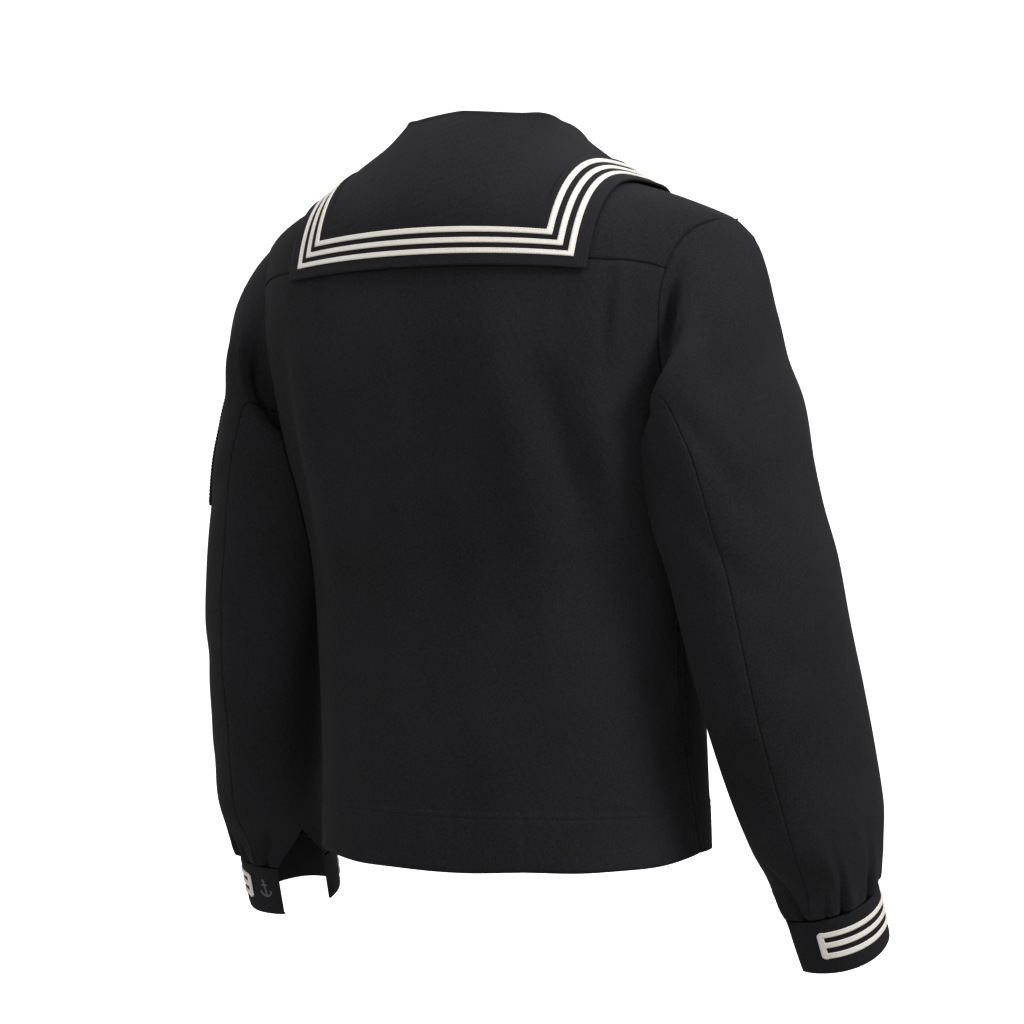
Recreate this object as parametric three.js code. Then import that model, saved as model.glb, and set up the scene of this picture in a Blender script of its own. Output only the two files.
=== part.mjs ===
// Sailor jumper, filled out as if worn, in millimetres.
// +X is the wearer's left, -Y the front, +Z up. The origin is the middle of the neck
// opening at the height of the shoulder lines.
import * as THREE from 'three';

// Cloth thicknesses and the space that is left at each seam
const CLOTH = 2.2;
const COLLAR_CLOTH = 2.2;
const CUFF_CLOTH = 2.6;
const TAPE_CLOTH = 1.0;
const PATCH_CLOTH = 1.2;
const SEAM = 0.3;
const ARMHOLE_GAP = 1.0;
const TIP_GAP = 1.0;
const LAID_GAP = 0.5;
const CUFF_TAPE_GAP = 0.8;
const PATCH_GAP = 1.2;

// Body heights
const UNDERARM_Z = -245;
const YOKE_SEAM_Z = -92;
const FRONT_SEAM_Z = -65;
const HEM_Z = -603;
const HEM_DROP_BACK = 12;

// Rings round the body: half width, half depth, middle and squareness. Above the underarm
// the shoulders' arch draws them in.
const BODY_RINGS = [
  { z: -620, width: 182, depth: 126, middle: -56, square: 2.3 },
  { z: -530, width: 181, depth: 124, middle: -52, square: 2.3 },
  { z: -440, width: 181, depth: 123, middle: -46, square: 2.3 },
  { z: -350, width: 183, depth: 122, middle: -38, square: 2.35 },
  { z: -290, width: 188, depth: 121, middle: -24, square: 2.45 },
  { z: -245, width: 194, depth: 121, middle: -12, square: 2.55 },
  { z: -200, width: 196, depth: 126, middle: -9, square: 2.7 },
  { z: -150, width: 198, depth: 130, middle: -8, square: 2.8 },
  { z: -90, width: 198, depth: 130, middle: -8, square: 2.8 },
];
const UNDERARM = BODY_RINGS[5];
const SIDE_SEAM_LEAN = 10;

// Shoulder line over the body, and the arch of the body over it
const ARCH_SQUARE = 3.2;
const SHOULDER_SPREAD = 0.14;
const SHOULDER_TIP_X = 226;
const SHOULDER_TIP_Y = -44;
const shoulderZ = (x) => 12 - 0.09 * Math.abs(x) - 0.00085 * x * x;
const shoulderY = (x) => SHOULDER_TIP_Y * Math.pow(Math.abs(x) / SHOULDER_TIP_X, 1.2);

// Armhole: angle from the shoulder tip down to the underarm, distance from the middle
const ARMHOLE_MIDDLE_Z = -148.4;
const ARMHOLE_HALF_HEIGHT = 96.6;
const ARMHOLE = [
  { turn: 0, back: 226, front: 226 },
  { turn: 15, back: 219, front: 218 },
  { turn: 30, back: 210, front: 208 },
  { turn: 50, back: 201, front: 197 },
  { turn: 70, back: 195, front: 190 },
  { turn: 90, back: 193, front: 187 },
  { turn: 110, back: 192, front: 186.5 },
  { turn: 130, back: 191.5, front: 187 },
  { turn: 150, back: 191.5, front: 188.5 },
  { turn: 165, back: 192.8, front: 191.5 },
  { turn: 180, back: 194, front: 194 },
];

// Neck opening
const NECK_HALF_WIDTH = 72;
const NECK_BACK_TURN = 72;
const V_POINT_X = 5;
const V_POINT_Z = -204;
const NECK_EDGE_SHARE = 0.8;

// Sleeve sections from the armhole to the wrist, for the left arm: middle, half sizes outward
// and to the rear, lean of the section, turn of its long side, and how far its rear is raised
const SLEEVE_SQUARE = 2.2;
const SLEEVE = [
  { row: 0, x: 210, y: -20, z: -148.4, out: 97.9, fore: 72, tilt: 80.6, turn: 0, pitch: 0, lift: 0 },
  { row: 1, x: 222, y: -22, z: -158.8, out: 91.3, fore: 74, tilt: 76.5, turn: 2, pitch: 0, lift: 6 },
  { row: 2, x: 229, y: -21, z: -174, out: 80.9, fore: 77, tilt: 69.9, turn: 5, pitch: 0, lift: 13 },
  { row: 3, x: 231, y: -20, z: -192.5, out: 67, fore: 82, tilt: 61.8, turn: 10, pitch: 0, lift: 20 },
  { row: 4, x: 228, y: -17, z: -214.5, out: 54, fore: 87, tilt: 48.8, turn: 15, pitch: 0, lift: 28 },
  { row: 5, x: 226, y: -15, z: -238.5, out: 54, fore: 90, tilt: 29.4, turn: 18, pitch: -2, lift: 30 },
  { row: 6, x: 226, y: -16, z: -267.5, out: 59, fore: 88, tilt: 11, turn: 19, pitch: -4, lift: 24 },
  { row: 7, x: 232, y: -22, z: -310, out: 62, fore: 83, tilt: 7, turn: 22, pitch: -7, lift: 14 },
  { row: 8, x: 243, y: -30, z: -354, out: 61, fore: 79, tilt: 7, turn: 24, pitch: -10, lift: 6 },
  { row: 9, x: 253.5, y: -38, z: -410, out: 58, fore: 77, tilt: 8, turn: 24, pitch: -13, lift: 0 },
  { row: 10, x: 262, y: -55, z: -470, out: 56, fore: 75.5, tilt: 8, turn: 23, pitch: -16, lift: 0 },
  { row: 11, x: 271, y: -74, z: -530, out: 54, fore: 72, tilt: 8, turn: 20, pitch: -18, lift: 0 },
  { row: 12, x: 279, y: -88, z: -577, out: 52, fore: 65, tilt: 8, turn: 16, pitch: -20, lift: 0 },
  { row: 13, x: 281, y: -103, z: -612, out: 48.5, fore: 53, tilt: 8, turn: 9, pitch: -20, lift: 0 },
  { row: 14, x: 278, y: -114, z: -643, out: 45, fore: 48, tilt: 8, turn: 0, pitch: -20, lift: 0 },
  { row: 15, x: 283, y: -137, z: -690.5, out: 42, fore: 48, tilt: 5, turn: 0, pitch: -20, lift: 0 },
];
const REAR_SEAM = [
  { row: 0, turn: 125 },
  { row: 1, turn: 122 },
  { row: 2, turn: 116 },
  { row: 3, turn: 108 },
  { row: 4, turn: 92 },
  { row: 5, turn: 76 },
  { row: 6, turn: 63 },
  { row: 7, turn: 57 },
  { row: 8.5, turn: 55 },
  { row: 10, turn: 57 },
  { row: 11, turn: 61 },
  { row: 12, turn: 69 },
  { row: 13, turn: 80 },
  { row: 14, turn: 88 },
];
const REAR_LIFT_TURN = 20;
const WRIST_ROW = 14;
const CUFF_END_ROW = 15;
const ARMHOLE_FADE_ROW = 5;
const FRONT_SLEEVE_SEAM = 235;
const SLEEVE_SEAM_TURN = 0.45;
const BODY_CLEARANCE = 1.2;
const CLEAR_TOP_Z = -130;
const CLEAR_FADE = 30;

// Wrist slit, cuff ends and gathers
const SLIT_TOP_ROW = 12.7;
const SLIT_TURN = 140;
const SLIT_HALF_TURN = 1.2;
const CUFF_START_TURN = 178;
const GATHER_TOP_ROW = 11.5;
const GATHER_COUNT = 8;
const GATHER_DEPTH = 2.2;

// Sailor collar, laid out from the middle of the back (0) round to the front end (1)
const COLLAR_CORNER = 0.36;
const COLLAR_SHOULDER = 0.6;
const COLLAR_HALF_WIDTH_LOW = 143;
const COLLAR_HALF_WIDTH_SHOULDER = 149;
const COLLAR_LOW_Z = -96;
const COLLAR_CORNER_DROP = 6;
const COLLAR_SLOPE = 0.93;
const COLLAR_FRONT_SLANT = 0.12;
const COLLAR_FRONT_X = 50;
const COLLAR_FRONT_Z = -196;
const COLLAR_RIM_BAND = 40;
const COLLAR_SHAPE = [
  { along: 0, rise: 30, lean: 27, lift: 5, swell: 3, roll: 3.2 },
  { along: 0.3, rise: 34, lean: 18, lift: 4.5, swell: 3, roll: 3.2 },
  { along: 0.45, rise: 37, lean: 12, lift: 3.6, swell: 6, roll: 3.2 },
  { along: 0.6, rise: 34, lean: 11, lift: 3.6, swell: 11, roll: 3.2 },
  { along: 0.75, rise: 20, lean: 9, lift: 3.2, swell: 9, roll: 2.6 },
  { along: 0.9, rise: 9, lean: 3, lift: 2.8, swell: 2, roll: 1.8 },
  { along: 1, rise: 4, lean: 0.6, lift: 2.6, swell: 0, roll: 1.6 },
];
const COLLAR_LANDING_SPREAD = 0.06;
const COLLAR_TAPE_END = 0.985;
const NECK_MIDDLE = new THREE.Vector3(0, -60, -82);

// Tapes on the collar and the cuffs
const TAPE_WIDTH = 5.6;
const TAPE_PITCH = 9.5;
const COLLAR_TAPE_BORDER = 10.5;
const CUFF_TAPE_START_TURN = -150;
const CUFF_TAPE_FIRST = 12.5;
const CUFF_HEIGHT = 51;
const CUFF_BAR_SHARE = 0.97;

// How the two arms differ: the left wrist is pushed up, the cuffs are turned round it
const LEFT_ARM = { raise: 15, cuffEnd: 108, tapeEnd: 68 };
const RIGHT_ARM = { raise: 0, cuffEnd: 118, tapeEnd: 86 };
const RAISE_ROW = 9;

// Small things on the left sleeve
const PATCH = { topRow: 4.15, endRow: 6.75, rearTurn: 16, frontTurn: -66 };
const ANCHOR = {
  turn: 89, down: 0.48, raise: 0.1, height: 20, width: 13.5, bar: 1.7, thick: 0.9, lean: 0.14,
  stockHalf: 3.2, stockBelowTop: 6.5, ring: 1.5, armRise: 7, armCurve: 3.6,
};

const COLOURS = {
  cloth: 0x1f1f20,
  collar: 0x29282a,
  tape: 0xe5e0d6,
  anchor: 0x8d8d92,
};

const degrees = (angle) => THREE.MathUtils.degToRad(angle);
const mix = THREE.MathUtils.lerp;
const BODY_MIDDLE = new THREE.Vector3(0, UNDERARM.middle, UNDERARM_Z);
const limit = THREE.MathUtils.clamp;

// Smooth value from a table whose rows rise by one column
function smooth(rows, key, column, at) {
  const last = rows.length - 1;
  const place = limit(at, rows[0][key], rows[last][key]);
  let low = 0;
  while (low < last - 1 && rows[low + 1][key] < place) low += 1;
  const high = low + 1;
  const span = rows[high][key] - rows[low][key];
  const slope = (a, b) => (rows[b][column] - rows[a][column]) / (rows[b][key] - rows[a][key]);
  const startSlope = slope(Math.max(low - 1, 0), high) * span;
  const endSlope = slope(low, Math.min(high + 1, last)) * span;
  const u = (place - rows[low][key]) / span;
  const square = u * u;
  const cube = square * u;
  return (2 * cube - 3 * square + 1) * rows[low][column] + (cube - 2 * square + u) * startSlope
    + (3 * square - 2 * cube) * rows[high][column] + (cube - square) * endSlope;
}

const rounded = (value, square) => Math.sign(value) * Math.pow(Math.abs(value), 2 / square);
const easeIn = (value) => THREE.MathUtils.smoothstep(value, 0, 1);

// A point of the body at arch angle `turn`: 0 low on the back, 90 the shoulder line, 180 low in front
function archPoint(x, turn) {
  const rise = Math.pow(Math.abs(Math.sin(degrees(turn))), 2 / ARCH_SQUARE);
  const reach = rounded(Math.cos(degrees(turn)), ARCH_SQUARE);
  const z = UNDERARM_Z + (shoulderZ(x) - UNDERARM_Z) * rise;
  const ring = (column) => smooth(BODY_RINGS, 'z', column, z);
  const square = ring('square');
  const lowX = Math.abs(x) / (1 + SHOULDER_SPREAD * Math.pow(rise, 1.5));
  const share = Math.min(lowX / ring('width'), 1);
  const lowDepth = ring('depth') * Math.pow(1 - Math.pow(share, square), 1 / square);
  const topY = shoulderY(x);
  const lowY = ring('middle') + Math.sign(reach || 1) * lowDepth;
  return new THREE.Vector3(x, topY + (lowY - topY) * Math.abs(reach), z);
}

// The arch angle at a height; `side` is 1 on the back and -1 in front
function archTurn(x, z, side) {
  const share = limit((z - UNDERARM_Z) / (shoulderZ(x) - UNDERARM_Z), 0, 1);
  const turn = THREE.MathUtils.radToDeg(Math.asin(Math.pow(share, ARCH_SQUARE / 2)));
  return side > 0 ? turn : 180 - turn;
}

// A point of a body ring: angle 0 in the middle of the back, 90 at the wearer's left
function ringPoint(angle, z) {
  const ring = (column) => smooth(BODY_RINGS, 'z', column, z);
  const square = ring('square');
  const x = ring('width') * rounded(Math.sin(degrees(angle)), square);
  const y = ring('middle') + ring('depth') * rounded(Math.cos(degrees(angle)), square);
  return new THREE.Vector3(x, y, z);
}

function armholeX(z, side) {
  const share = limit((z - ARMHOLE_MIDDLE_Z) / ARMHOLE_HALF_HEIGHT, -1, 1);
  const turn = THREE.MathUtils.radToDeg(Math.acos(share));
  return smooth(ARMHOLE, 'turn', side > 0 ? 'back' : 'front', turn);
}

// A point of a body panel: `across` runs from -1 to 1, edge to edge, at a height
function panelPoint(across, z, side, edgeGap) {
  if (z <= UNDERARM_Z) {
    const height = (z - HEM_Z) / (UNDERARM_Z - HEM_Z);
    const lean = SIDE_SEAM_LEAN * Math.sin(Math.PI * limit(height, 0, 1));
    const gapAngle = THREE.MathUtils.radToDeg(edgeGap / UNDERARM.width);
    const reach = side > 0 ? 90 - lean - gapAngle : 90 + lean - gapAngle;
    return ringPoint(side > 0 ? across * reach : 180 - across * reach, z);
  }
  const edge = armholeX(z, side) - edgeGap;
  const rise = limit((z - UNDERARM_Z) / (shoulderZ(edge) - UNDERARM_Z), 0, 1);
  const square = smooth(BODY_RINGS, 'z', 'square', z);
  const width = smooth(BODY_RINGS, 'z', 'width', z) * (1 + SHOULDER_SPREAD * Math.pow(rise, 1.5));
  const reach = Math.asin(Math.pow(Math.min(edge / width, 1), square / 2));
  const x = edge * rounded(Math.sin(across * reach) / Math.sin(reach), square);
  return archPoint(x, archTurn(x, z, side));
}

// Points and outward directions of a surface at(i, j) over a grid of rows and columns
const GRID_STEP = 0.02;
function sampleGrid(at, rows, columns) {
  const across = new THREE.Vector3();
  const down = new THREE.Vector3();
  const grid = { points: [], normals: [] };
  for (let i = 0; i <= rows; i += 1) {
    const pointRow = [];
    const normalRow = [];
    for (let j = 0; j <= columns; j += 1) {
      down.copy(at(Math.min(i + GRID_STEP, rows), j)).sub(at(Math.max(i - GRID_STEP, 0), j));
      across.copy(at(i, Math.min(j + GRID_STEP, columns))).sub(at(i, Math.max(j - GRID_STEP, 0)));
      pointRow.push(at(i, j));
      normalRow.push(new THREE.Vector3().crossVectors(across, down).normalize());
    }
    grid.points.push(pointRow);
    grid.normals.push(normalRow);
  }
  return grid;
}

// Turns the directions of a grid away from a point behind it
function facingFrom(inside, grid) {
  const i = Math.floor(grid.points.length / 2);
  const j = Math.floor(grid.points[0].length / 2);
  const outward = grid.points[i][j].clone().sub(inside);
  if (outward.dot(grid.normals[i][j]) < 0) {
    grid.normals.forEach((row) => row.forEach((normal) => normal.negate()));
  }
  return grid;
}

// The same from a list of rows of points, where the surface turns too fast for a short step
function gridFromPoints(points) {
  const rows = points.length - 1;
  const columns = points[0].length - 1;
  const normals = points.map((row, i) => row.map((point, j) => {
    const down = points[Math.min(i + 1, rows)][j].clone().sub(points[Math.max(i - 1, 0)][j]);
    const across = row[Math.min(j + 1, columns)].clone().sub(row[Math.max(j - 1, 0)]);
    return across.cross(down).normalize();
  }));
  return { points, normals };
}

// A closed wall on a grid: its faces lie at two distances along the outward directions.
// A cell for which `open(i, j)` is true is left out, and the wall is closed round it.
function wall(grid, from, to, open = () => false) {
  const rows = grid.points.length - 1;
  const columns = grid.points[0].length - 1;
  const positions = [];
  const used = new Map();
  const vertex = (i, j, outside) => {
    const key = `${i} ${j} ${outside}`;
    if (!used.has(key)) {
      const point = grid.points[i][j].clone().addScaledVector(grid.normals[i][j], outside ? to : from);
      used.set(key, positions.length / 3);
      positions.push(point.x, point.y, point.z);
    }
    return used.get(key);
  };
  const index = [];
  const quad = (a, b, c, d) => index.push(a, b, c, a, c, d);
  const solid = (i, j) => i >= 0 && j >= 0 && i < rows && j < columns && !open(i, j);
  const rim = (i, j, k, l) => {
    quad(vertex(i, j, true), vertex(i, j, false), vertex(k, l, false), vertex(k, l, true));
  };
  for (let i = 0; i < rows; i += 1) {
    for (let j = 0; j < columns; j += 1) {
      if (!solid(i, j)) continue;
      const corners = [[i, j], [i, j + 1], [i + 1, j + 1], [i + 1, j]];
      quad(...corners.map(([a, b]) => vertex(a, b, true)));
      quad(...corners.reverse().map(([a, b]) => vertex(a, b, false)));
      if (!solid(i - 1, j)) rim(i, j, i, j + 1);
      if (!solid(i, j + 1)) rim(i, j + 1, i + 1, j + 1);
      if (!solid(i + 1, j)) rim(i + 1, j + 1, i + 1, j);
      if (!solid(i, j - 1)) rim(i + 1, j, i, j);
    }
  }
  return closedGeometry(positions, index);
}

// Geometry whose faces point out, whichever way its grid ran
function closedGeometry(positions, index) {
  const corner = (place) => new THREE.Vector3().fromArray(positions, place * 3);
  let volume = 0;
  for (let k = 0; k < index.length; k += 3) {
    volume += corner(index[k]).dot(corner(index[k + 1]).cross(corner(index[k + 2])));
  }
  const ordered = volume > 0 ? index : index.slice().reverse();
  const geometry = new THREE.BufferGeometry();
  geometry.setAttribute('position', new THREE.Float32BufferAttribute(positions, 3));
  geometry.setIndex(ordered);
  geometry.computeVertexNormals();
  return geometry;
}

function mirrored(geometry) {
  const positions = Array.from(geometry.getAttribute('position').array);
  for (let k = 0; k < positions.length; k += 3) positions[k] = -positions[k];
  return closedGeometry(positions, Array.from(geometry.getIndex().array));
}

// Heights of the rows of a panel from the hem to its top edge
function panelHeights(hemRows, upperRows, top) {
  const heights = [];
  for (let i = 0; i <= hemRows; i += 1) heights.push(mix(HEM_Z, UNDERARM_Z, i / hemRows));
  for (let i = 1; i <= upperRows; i += 1) {
    heights.push(UNDERARM_Z + (top - UNDERARM_Z) * Math.pow(i / upperRows, 1.15));
  }
  return heights;
}

function heightAt(heights, i) {
  const low = Math.min(Math.floor(i), heights.length - 2);
  return mix(heights[low], heights[low + 1], i - low);
}

function backPanel() {
  const columns = 22;
  const heights = panelHeights(10, 8, YOKE_SEAM_Z - SEAM / 2);
  const at = (i, j) => {
    const across = 2 * j / columns - 1;
    const drop = HEM_DROP_BACK * (1 - across * across) * Math.pow(Math.max(1 - i / 3, 0), 2);
    return panelPoint(across, heightAt(heights, i) - drop, 1, SEAM / 2);
  };
  return wall(facingFrom(BODY_MIDDLE, sampleGrid(at, heights.length - 1, columns)), -CLOTH, 0);
}

// Where the V edge of the neck stands at a height
function neckEdgeX(z) {
  const share = limit((z - V_POINT_Z) / (shoulderZ(NECK_HALF_WIDTH) - V_POINT_Z), 0, 1);
  return mix(V_POINT_X, NECK_HALF_WIDTH, share);
}

function frontPanel() {
  const half = 10;
  const columns = 2 * half + 1;
  const heights = panelHeights(10, 9, FRONT_SEAM_Z - SEAM / 2);
  const at = (i, j) => {
    const z = heightAt(heights, i);
    const edge = panelPoint(1, z, -1, SEAM / 2).x;
    const start = neckEdgeX(z) / edge;
    const side = j <= half ? -1 : 1;
    const share = j <= half ? 1 - j / half : (j - half - 1) / half;
    return panelPoint(side * mix(start * NECK_EDGE_SHARE, 1, share), z, -1, SEAM / 2);
  };
  const vRow = heights.findIndex((z) => z > V_POINT_Z) - 1;
  heights[vRow] = V_POINT_Z - 1;
  const near = sampleGrid(at, heights.length - 1, half);
  const far = sampleGrid((i, j) => at(i, columns - j), heights.length - 1, half);
  const joined = (part, i) => [...near[part][i], ...far[part][i].reverse()];
  far.normals.forEach((row) => row.forEach((normal) => normal.negate()));
  const grid = {
    points: heights.map((z, i) => joined('points', i)),
    normals: heights.map((z, i) => joined('normals', i)),
  };
  return wall(facingFrom(BODY_MIDDLE, grid), -CLOTH, 0, (i, j) => i >= vRow && j === half);
}

// The neck line as a place on the arch, from the middle of the back round to the V point
function neckPlace(along) {
  if (along <= COLLAR_SHOULDER) {
    const round = Math.PI / 2 * Math.pow(along / COLLAR_SHOULDER, 0.85);
    return { x: NECK_HALF_WIDTH * Math.sin(round), turn: 90 - (90 - NECK_BACK_TURN) * Math.cos(round) };
  }
  const down = (along - COLLAR_SHOULDER) / (1 - COLLAR_SHOULDER);
  const endTurn = archTurn(V_POINT_X, V_POINT_Z, -1);
  const turn = mix(90, endTurn, down);
  return { x: mix(NECK_HALF_WIDTH, V_POINT_X, frontShare(turn, endTurn)), turn };
}

// Share of the height from the shoulder line that an arch angle has gone down in front
function frontShare(turn, endTurn) {
  const height = (angle) => Math.pow(Math.sin(degrees(angle)), 2 / ARCH_SQUARE);
  return (1 - height(turn)) / (1 - height(endTurn));
}

function yoke() {
  const backSteps = 6;
  const armSteps = 5;
  const frontSteps = 5;
  const total = backSteps + armSteps + frontSteps;
  const rows = 8;
  const seamZ = YOKE_SEAM_Z + SEAM / 2;
  const frontZ = FRONT_SEAM_Z + SEAM / 2;
  const seamEdge = armholeX(seamZ, 1) - SEAM / 2;
  const neckTurn = archTurn(neckEdgeX(frontZ), frontZ, -1);
  const armAngle = (z) => THREE.MathUtils.radToDeg(Math.acos((z - ARMHOLE_MIDDLE_Z) / ARMHOLE_HALF_HEIGHT));
  const outerPlace = (step) => {
    if (step <= backSteps) {
      const x = seamEdge * step / backSteps;
      return { x, turn: archTurn(x, seamZ, 1) };
    }
    const side = step <= backSteps + armSteps ? 1 : -1;
    const share = side > 0 ? 1 - (step - backSteps) / armSteps : (step - backSteps - armSteps) / frontSteps;
    const angle = share * armAngle(side > 0 ? seamZ : frontZ);
    const z = ARMHOLE_MIDDLE_Z + ARMHOLE_HALF_HEIGHT * Math.cos(degrees(angle));
    const x = armholeX(z, side) - SEAM / 2;
    return { x, turn: archTurn(x, z, side) };
  };
  const innerPlace = (step) => {
    if (step <= backSteps + armSteps) {
      const round = Math.PI / 2 * step / (backSteps + armSteps);
      return { x: NECK_HALF_WIDTH * Math.sin(round), turn: 90 - (90 - NECK_BACK_TURN) * Math.cos(round) };
    }
    const turn = mix(90, neckTurn, (step - backSteps - armSteps) / frontSteps);
    const z = UNDERARM_Z + (shoulderZ(NECK_HALF_WIDTH) - UNDERARM_Z)
      * Math.pow(Math.sin(degrees(turn)), 2 / ARCH_SQUARE);
    return { x: neckEdgeX(z), turn };
  };
  const at = (i, j) => {
    const step = Math.abs(j - total);
    const side = j < total ? -1 : 1;
    const outer = outerPlace(step);
    const inner = innerPlace(step);
    const share = Math.pow(i / rows, 1.4);
    const point = archPoint(mix(outer.x, inner.x, share), mix(outer.turn, inner.turn, share));
    point.x *= side;
    return point;
  };
  return wall(facingFrom(BODY_MIDDLE, sampleGrid(at, rows, 2 * total)), -CLOTH, 0);
}

// The collar's lower layer as a place on the arch, `rim` millimetres in from its outline
function collarPlace(along, rim) {
  const lowX = COLLAR_HALF_WIDTH_LOW - rim;
  const shoulderX = COLLAR_HALF_WIDTH_SHOULDER - rim;
  const lowZ = (share) => COLLAR_LOW_Z - COLLAR_CORNER_DROP * share * share + COLLAR_SLOPE * rim;
  if (along <= COLLAR_CORNER) {
    const share = along / COLLAR_CORNER;
    const x = lowX * share;
    return { x, turn: archTurn(x, lowZ(share), 1) };
  }
  if (along <= COLLAR_SHOULDER) {
    const share = (along - COLLAR_CORNER) / (COLLAR_SHOULDER - COLLAR_CORNER);
    return { x: mix(lowX, shoulderX, share), turn: mix(archTurn(lowX, lowZ(1), 1), 90, share) };
  }
  const share = (along - COLLAR_SHOULDER) / (1 - COLLAR_SHOULDER);
  const endTurn = archTurn(COLLAR_FRONT_X, COLLAR_FRONT_Z, -1);
  const turn = mix(90, endTurn, share);
  const down = frontShare(turn, endTurn);
  const slant = 1 + COLLAR_FRONT_SLANT * Math.min(down * 3, 1);
  return { x: mix(COLLAR_HALF_WIDTH_SHOULDER, COLLAR_FRONT_X, down) - rim * slant, turn };
}

// The direction straight out of the body at a place on the arch
function outwardNormal(place) {
  const step = 0.2;
  const across = archPoint(place.x + step, place.turn).sub(archPoint(place.x - step, place.turn));
  const over = archPoint(place.x, place.turn + step).sub(archPoint(place.x, place.turn - step));
  const normal = new THREE.Vector3().crossVectors(over, across).normalize();
  const outward = archPoint(place.x, place.turn).sub(BODY_MIDDLE);
  return normal.dot(outward) < 0 ? normal.negate() : normal;
}

// Middle of the collar's cloth near its outline
function collarRimPoint(along, rim) {
  const place = collarPlace(along, rim);
  const inner = rim / COLLAR_RIM_BAND;
  const lift = smooth(COLLAR_SHAPE, 'along', 'lift', along)
    + inner * inner * smooth(COLLAR_SHAPE, 'along', 'swell', along);
  return archPoint(place.x, place.turn).addScaledVector(outwardNormal(place), lift);
}

// The line where the falling cloth meets the rim band, softened round the corner
function collarLanding(along, rim) {
  const before = collarRimPoint(Math.max(along - COLLAR_LANDING_SPREAD, 0), rim);
  const after = collarRimPoint(Math.min(along + COLLAR_LANDING_SPREAD, 1), rim);
  const edge = Math.min(along, 1 - along, COLLAR_LANDING_SPREAD) / COLLAR_LANDING_SPREAD;
  return collarRimPoint(along, rim).lerp(before.add(after).multiplyScalar(0.5), 0.6 * edge);
}

// One section of the collar: up from the neck seam, over the roll and out to the outline
function collarSection(along) {
  const shape = (column) => smooth(COLLAR_SHAPE, 'along', column, along);
  const place = neckPlace(along);
  const seam = archPoint(place.x, place.turn);
  const normal = outwardNormal(place);
  const before = neckPlace(Math.max(along - 0.01, 0));
  const after = neckPlace(Math.min(along + 0.01, 1));
  const tangent = archPoint(after.x, after.turn).sub(archPoint(before.x, before.turn)).normalize();
  if (along === 0) tangent.set(1, 0, 0);
  const inward = new THREE.Vector3().crossVectors(normal, tangent).normalize();
  if (inward.dot(NECK_MIDDLE.clone().sub(seam)) < 0) inward.negate();
  const base = seam.clone().addScaledVector(inward, LAID_GAP + COLLAR_CLOTH / 2);
  const up = inward.clone().multiplyScalar(shape('lean')).addScaledVector(normal, shape('rise'));
  const fold = seam.clone().add(up);
  up.normalize();
  const aside = new THREE.Vector3().crossVectors(up, tangent).normalize();
  if (aside.dot(inward) > 0) aside.negate();
  const roll = shape('roll');
  const section = [base.clone().addScaledVector(normal, -CLOTH)];
  section.push(base.clone().lerp(fold, 0.5).addScaledVector(aside, -roll / 2));
  const rollSteps = 4;
  for (let k = 0; k <= rollSteps; k += 1) {
    const angle = Math.PI * k / rollSteps;
    section.push(fold.clone().addScaledVector(aside, -roll * Math.cos(angle))
      .addScaledVector(up, roll * Math.sin(angle)));
  }
  const start = section[section.length - 1];
  const landing = collarLanding(along, COLLAR_RIM_BAND);
  const span = start.distanceTo(landing);
  const flow = collarLanding(along, COLLAR_RIM_BAND - 4).sub(landing).normalize();
  const curve = new THREE.CubicBezierCurve3(start, start.clone().addScaledVector(up, -0.22 * span)
    .addScaledVector(aside, 0.14 * span), landing.clone().addScaledVector(flow, -0.3 * span), landing);
  const fallSteps = 4;
  for (let k = 1; k <= fallSteps; k += 1) section.push(curve.getPoint(k / fallSteps));
  const rimSteps = 3;
  for (let k = 1; k <= rimSteps; k += 1) {
    section.push(collarRimPoint(along, COLLAR_RIM_BAND * (1 - k / rimSteps)));
  }
  return section;
}

// Stations along the collar, closer at the corner and the shoulder
function collarStations(backSteps, sideSteps, frontSteps) {
  const stations = [];
  for (let k = 0; k <= backSteps; k += 1) stations.push(COLLAR_CORNER * k / backSteps);
  for (let k = 1; k <= sideSteps; k += 1) {
    stations.push(mix(COLLAR_CORNER, COLLAR_SHOULDER, k / sideSteps));
  }
  for (let k = 1; k <= frontSteps; k += 1) stations.push(mix(COLLAR_SHOULDER, 1, k / frontSteps));
  return stations;
}
const COLLAR_STATIONS = collarStations(7, 6, 8);

const flipX = (row) => row.map((point) => new THREE.Vector3(-point.x, point.y, point.z));

function sailorCollar() {
  const half = COLLAR_STATIONS.map((along) => collarSection(along));
  const rows = [...half.slice(1).reverse().map(flipX), ...half];
  return wall(gridFromPoints(rows), -COLLAR_CLOTH / 2, COLLAR_CLOTH / 2);
}

// One tape sewn on the collar, its middle `rim` millimetres in from the outline
function collarTape(rim) {
  const half = COLLAR_STATIONS.map((along) => {
    const row = [];
    const place = Math.min(along, COLLAR_TAPE_END);
    for (const edge of [1, 0, -1]) row.push(collarRimPoint(place, rim + edge * TAPE_WIDTH / 2));
    return row;
  });
  const rows = [...half.slice(1).reverse().map(flipX), ...half];
  const grid = facingFrom(BODY_MIDDLE, gridFromPoints(rows));
  const under = COLLAR_CLOTH / 2 + LAID_GAP;
  return wall(grid, under, under + TAPE_CLOTH);
}

// A point of the left sleeve: `turn` is 0 outward, 90 to the rear, 180 against the body
function sleevePoint(turn, row, arm) {
  const value = (column) => smooth(SLEEVE, 'row', column, row);
  const angle = degrees(turn);
  const ends = sleeveEllipse(angle, value);
  const fade = easeIn(Math.min(row / ARMHOLE_FADE_ROW, 1));
  if (fade < 1) {
    const first = (column) => SLEEVE[0][column];
    ends.add(armholePoint(turn).sub(sleeveEllipse(angle, first)).multiplyScalar(1 - fade));
  }
  ends.z += arm.raise * easeIn((row - RAISE_ROW) / (WRIST_ROW - RAISE_ROW));
  return clearOfBody(ends, row);
}

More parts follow.
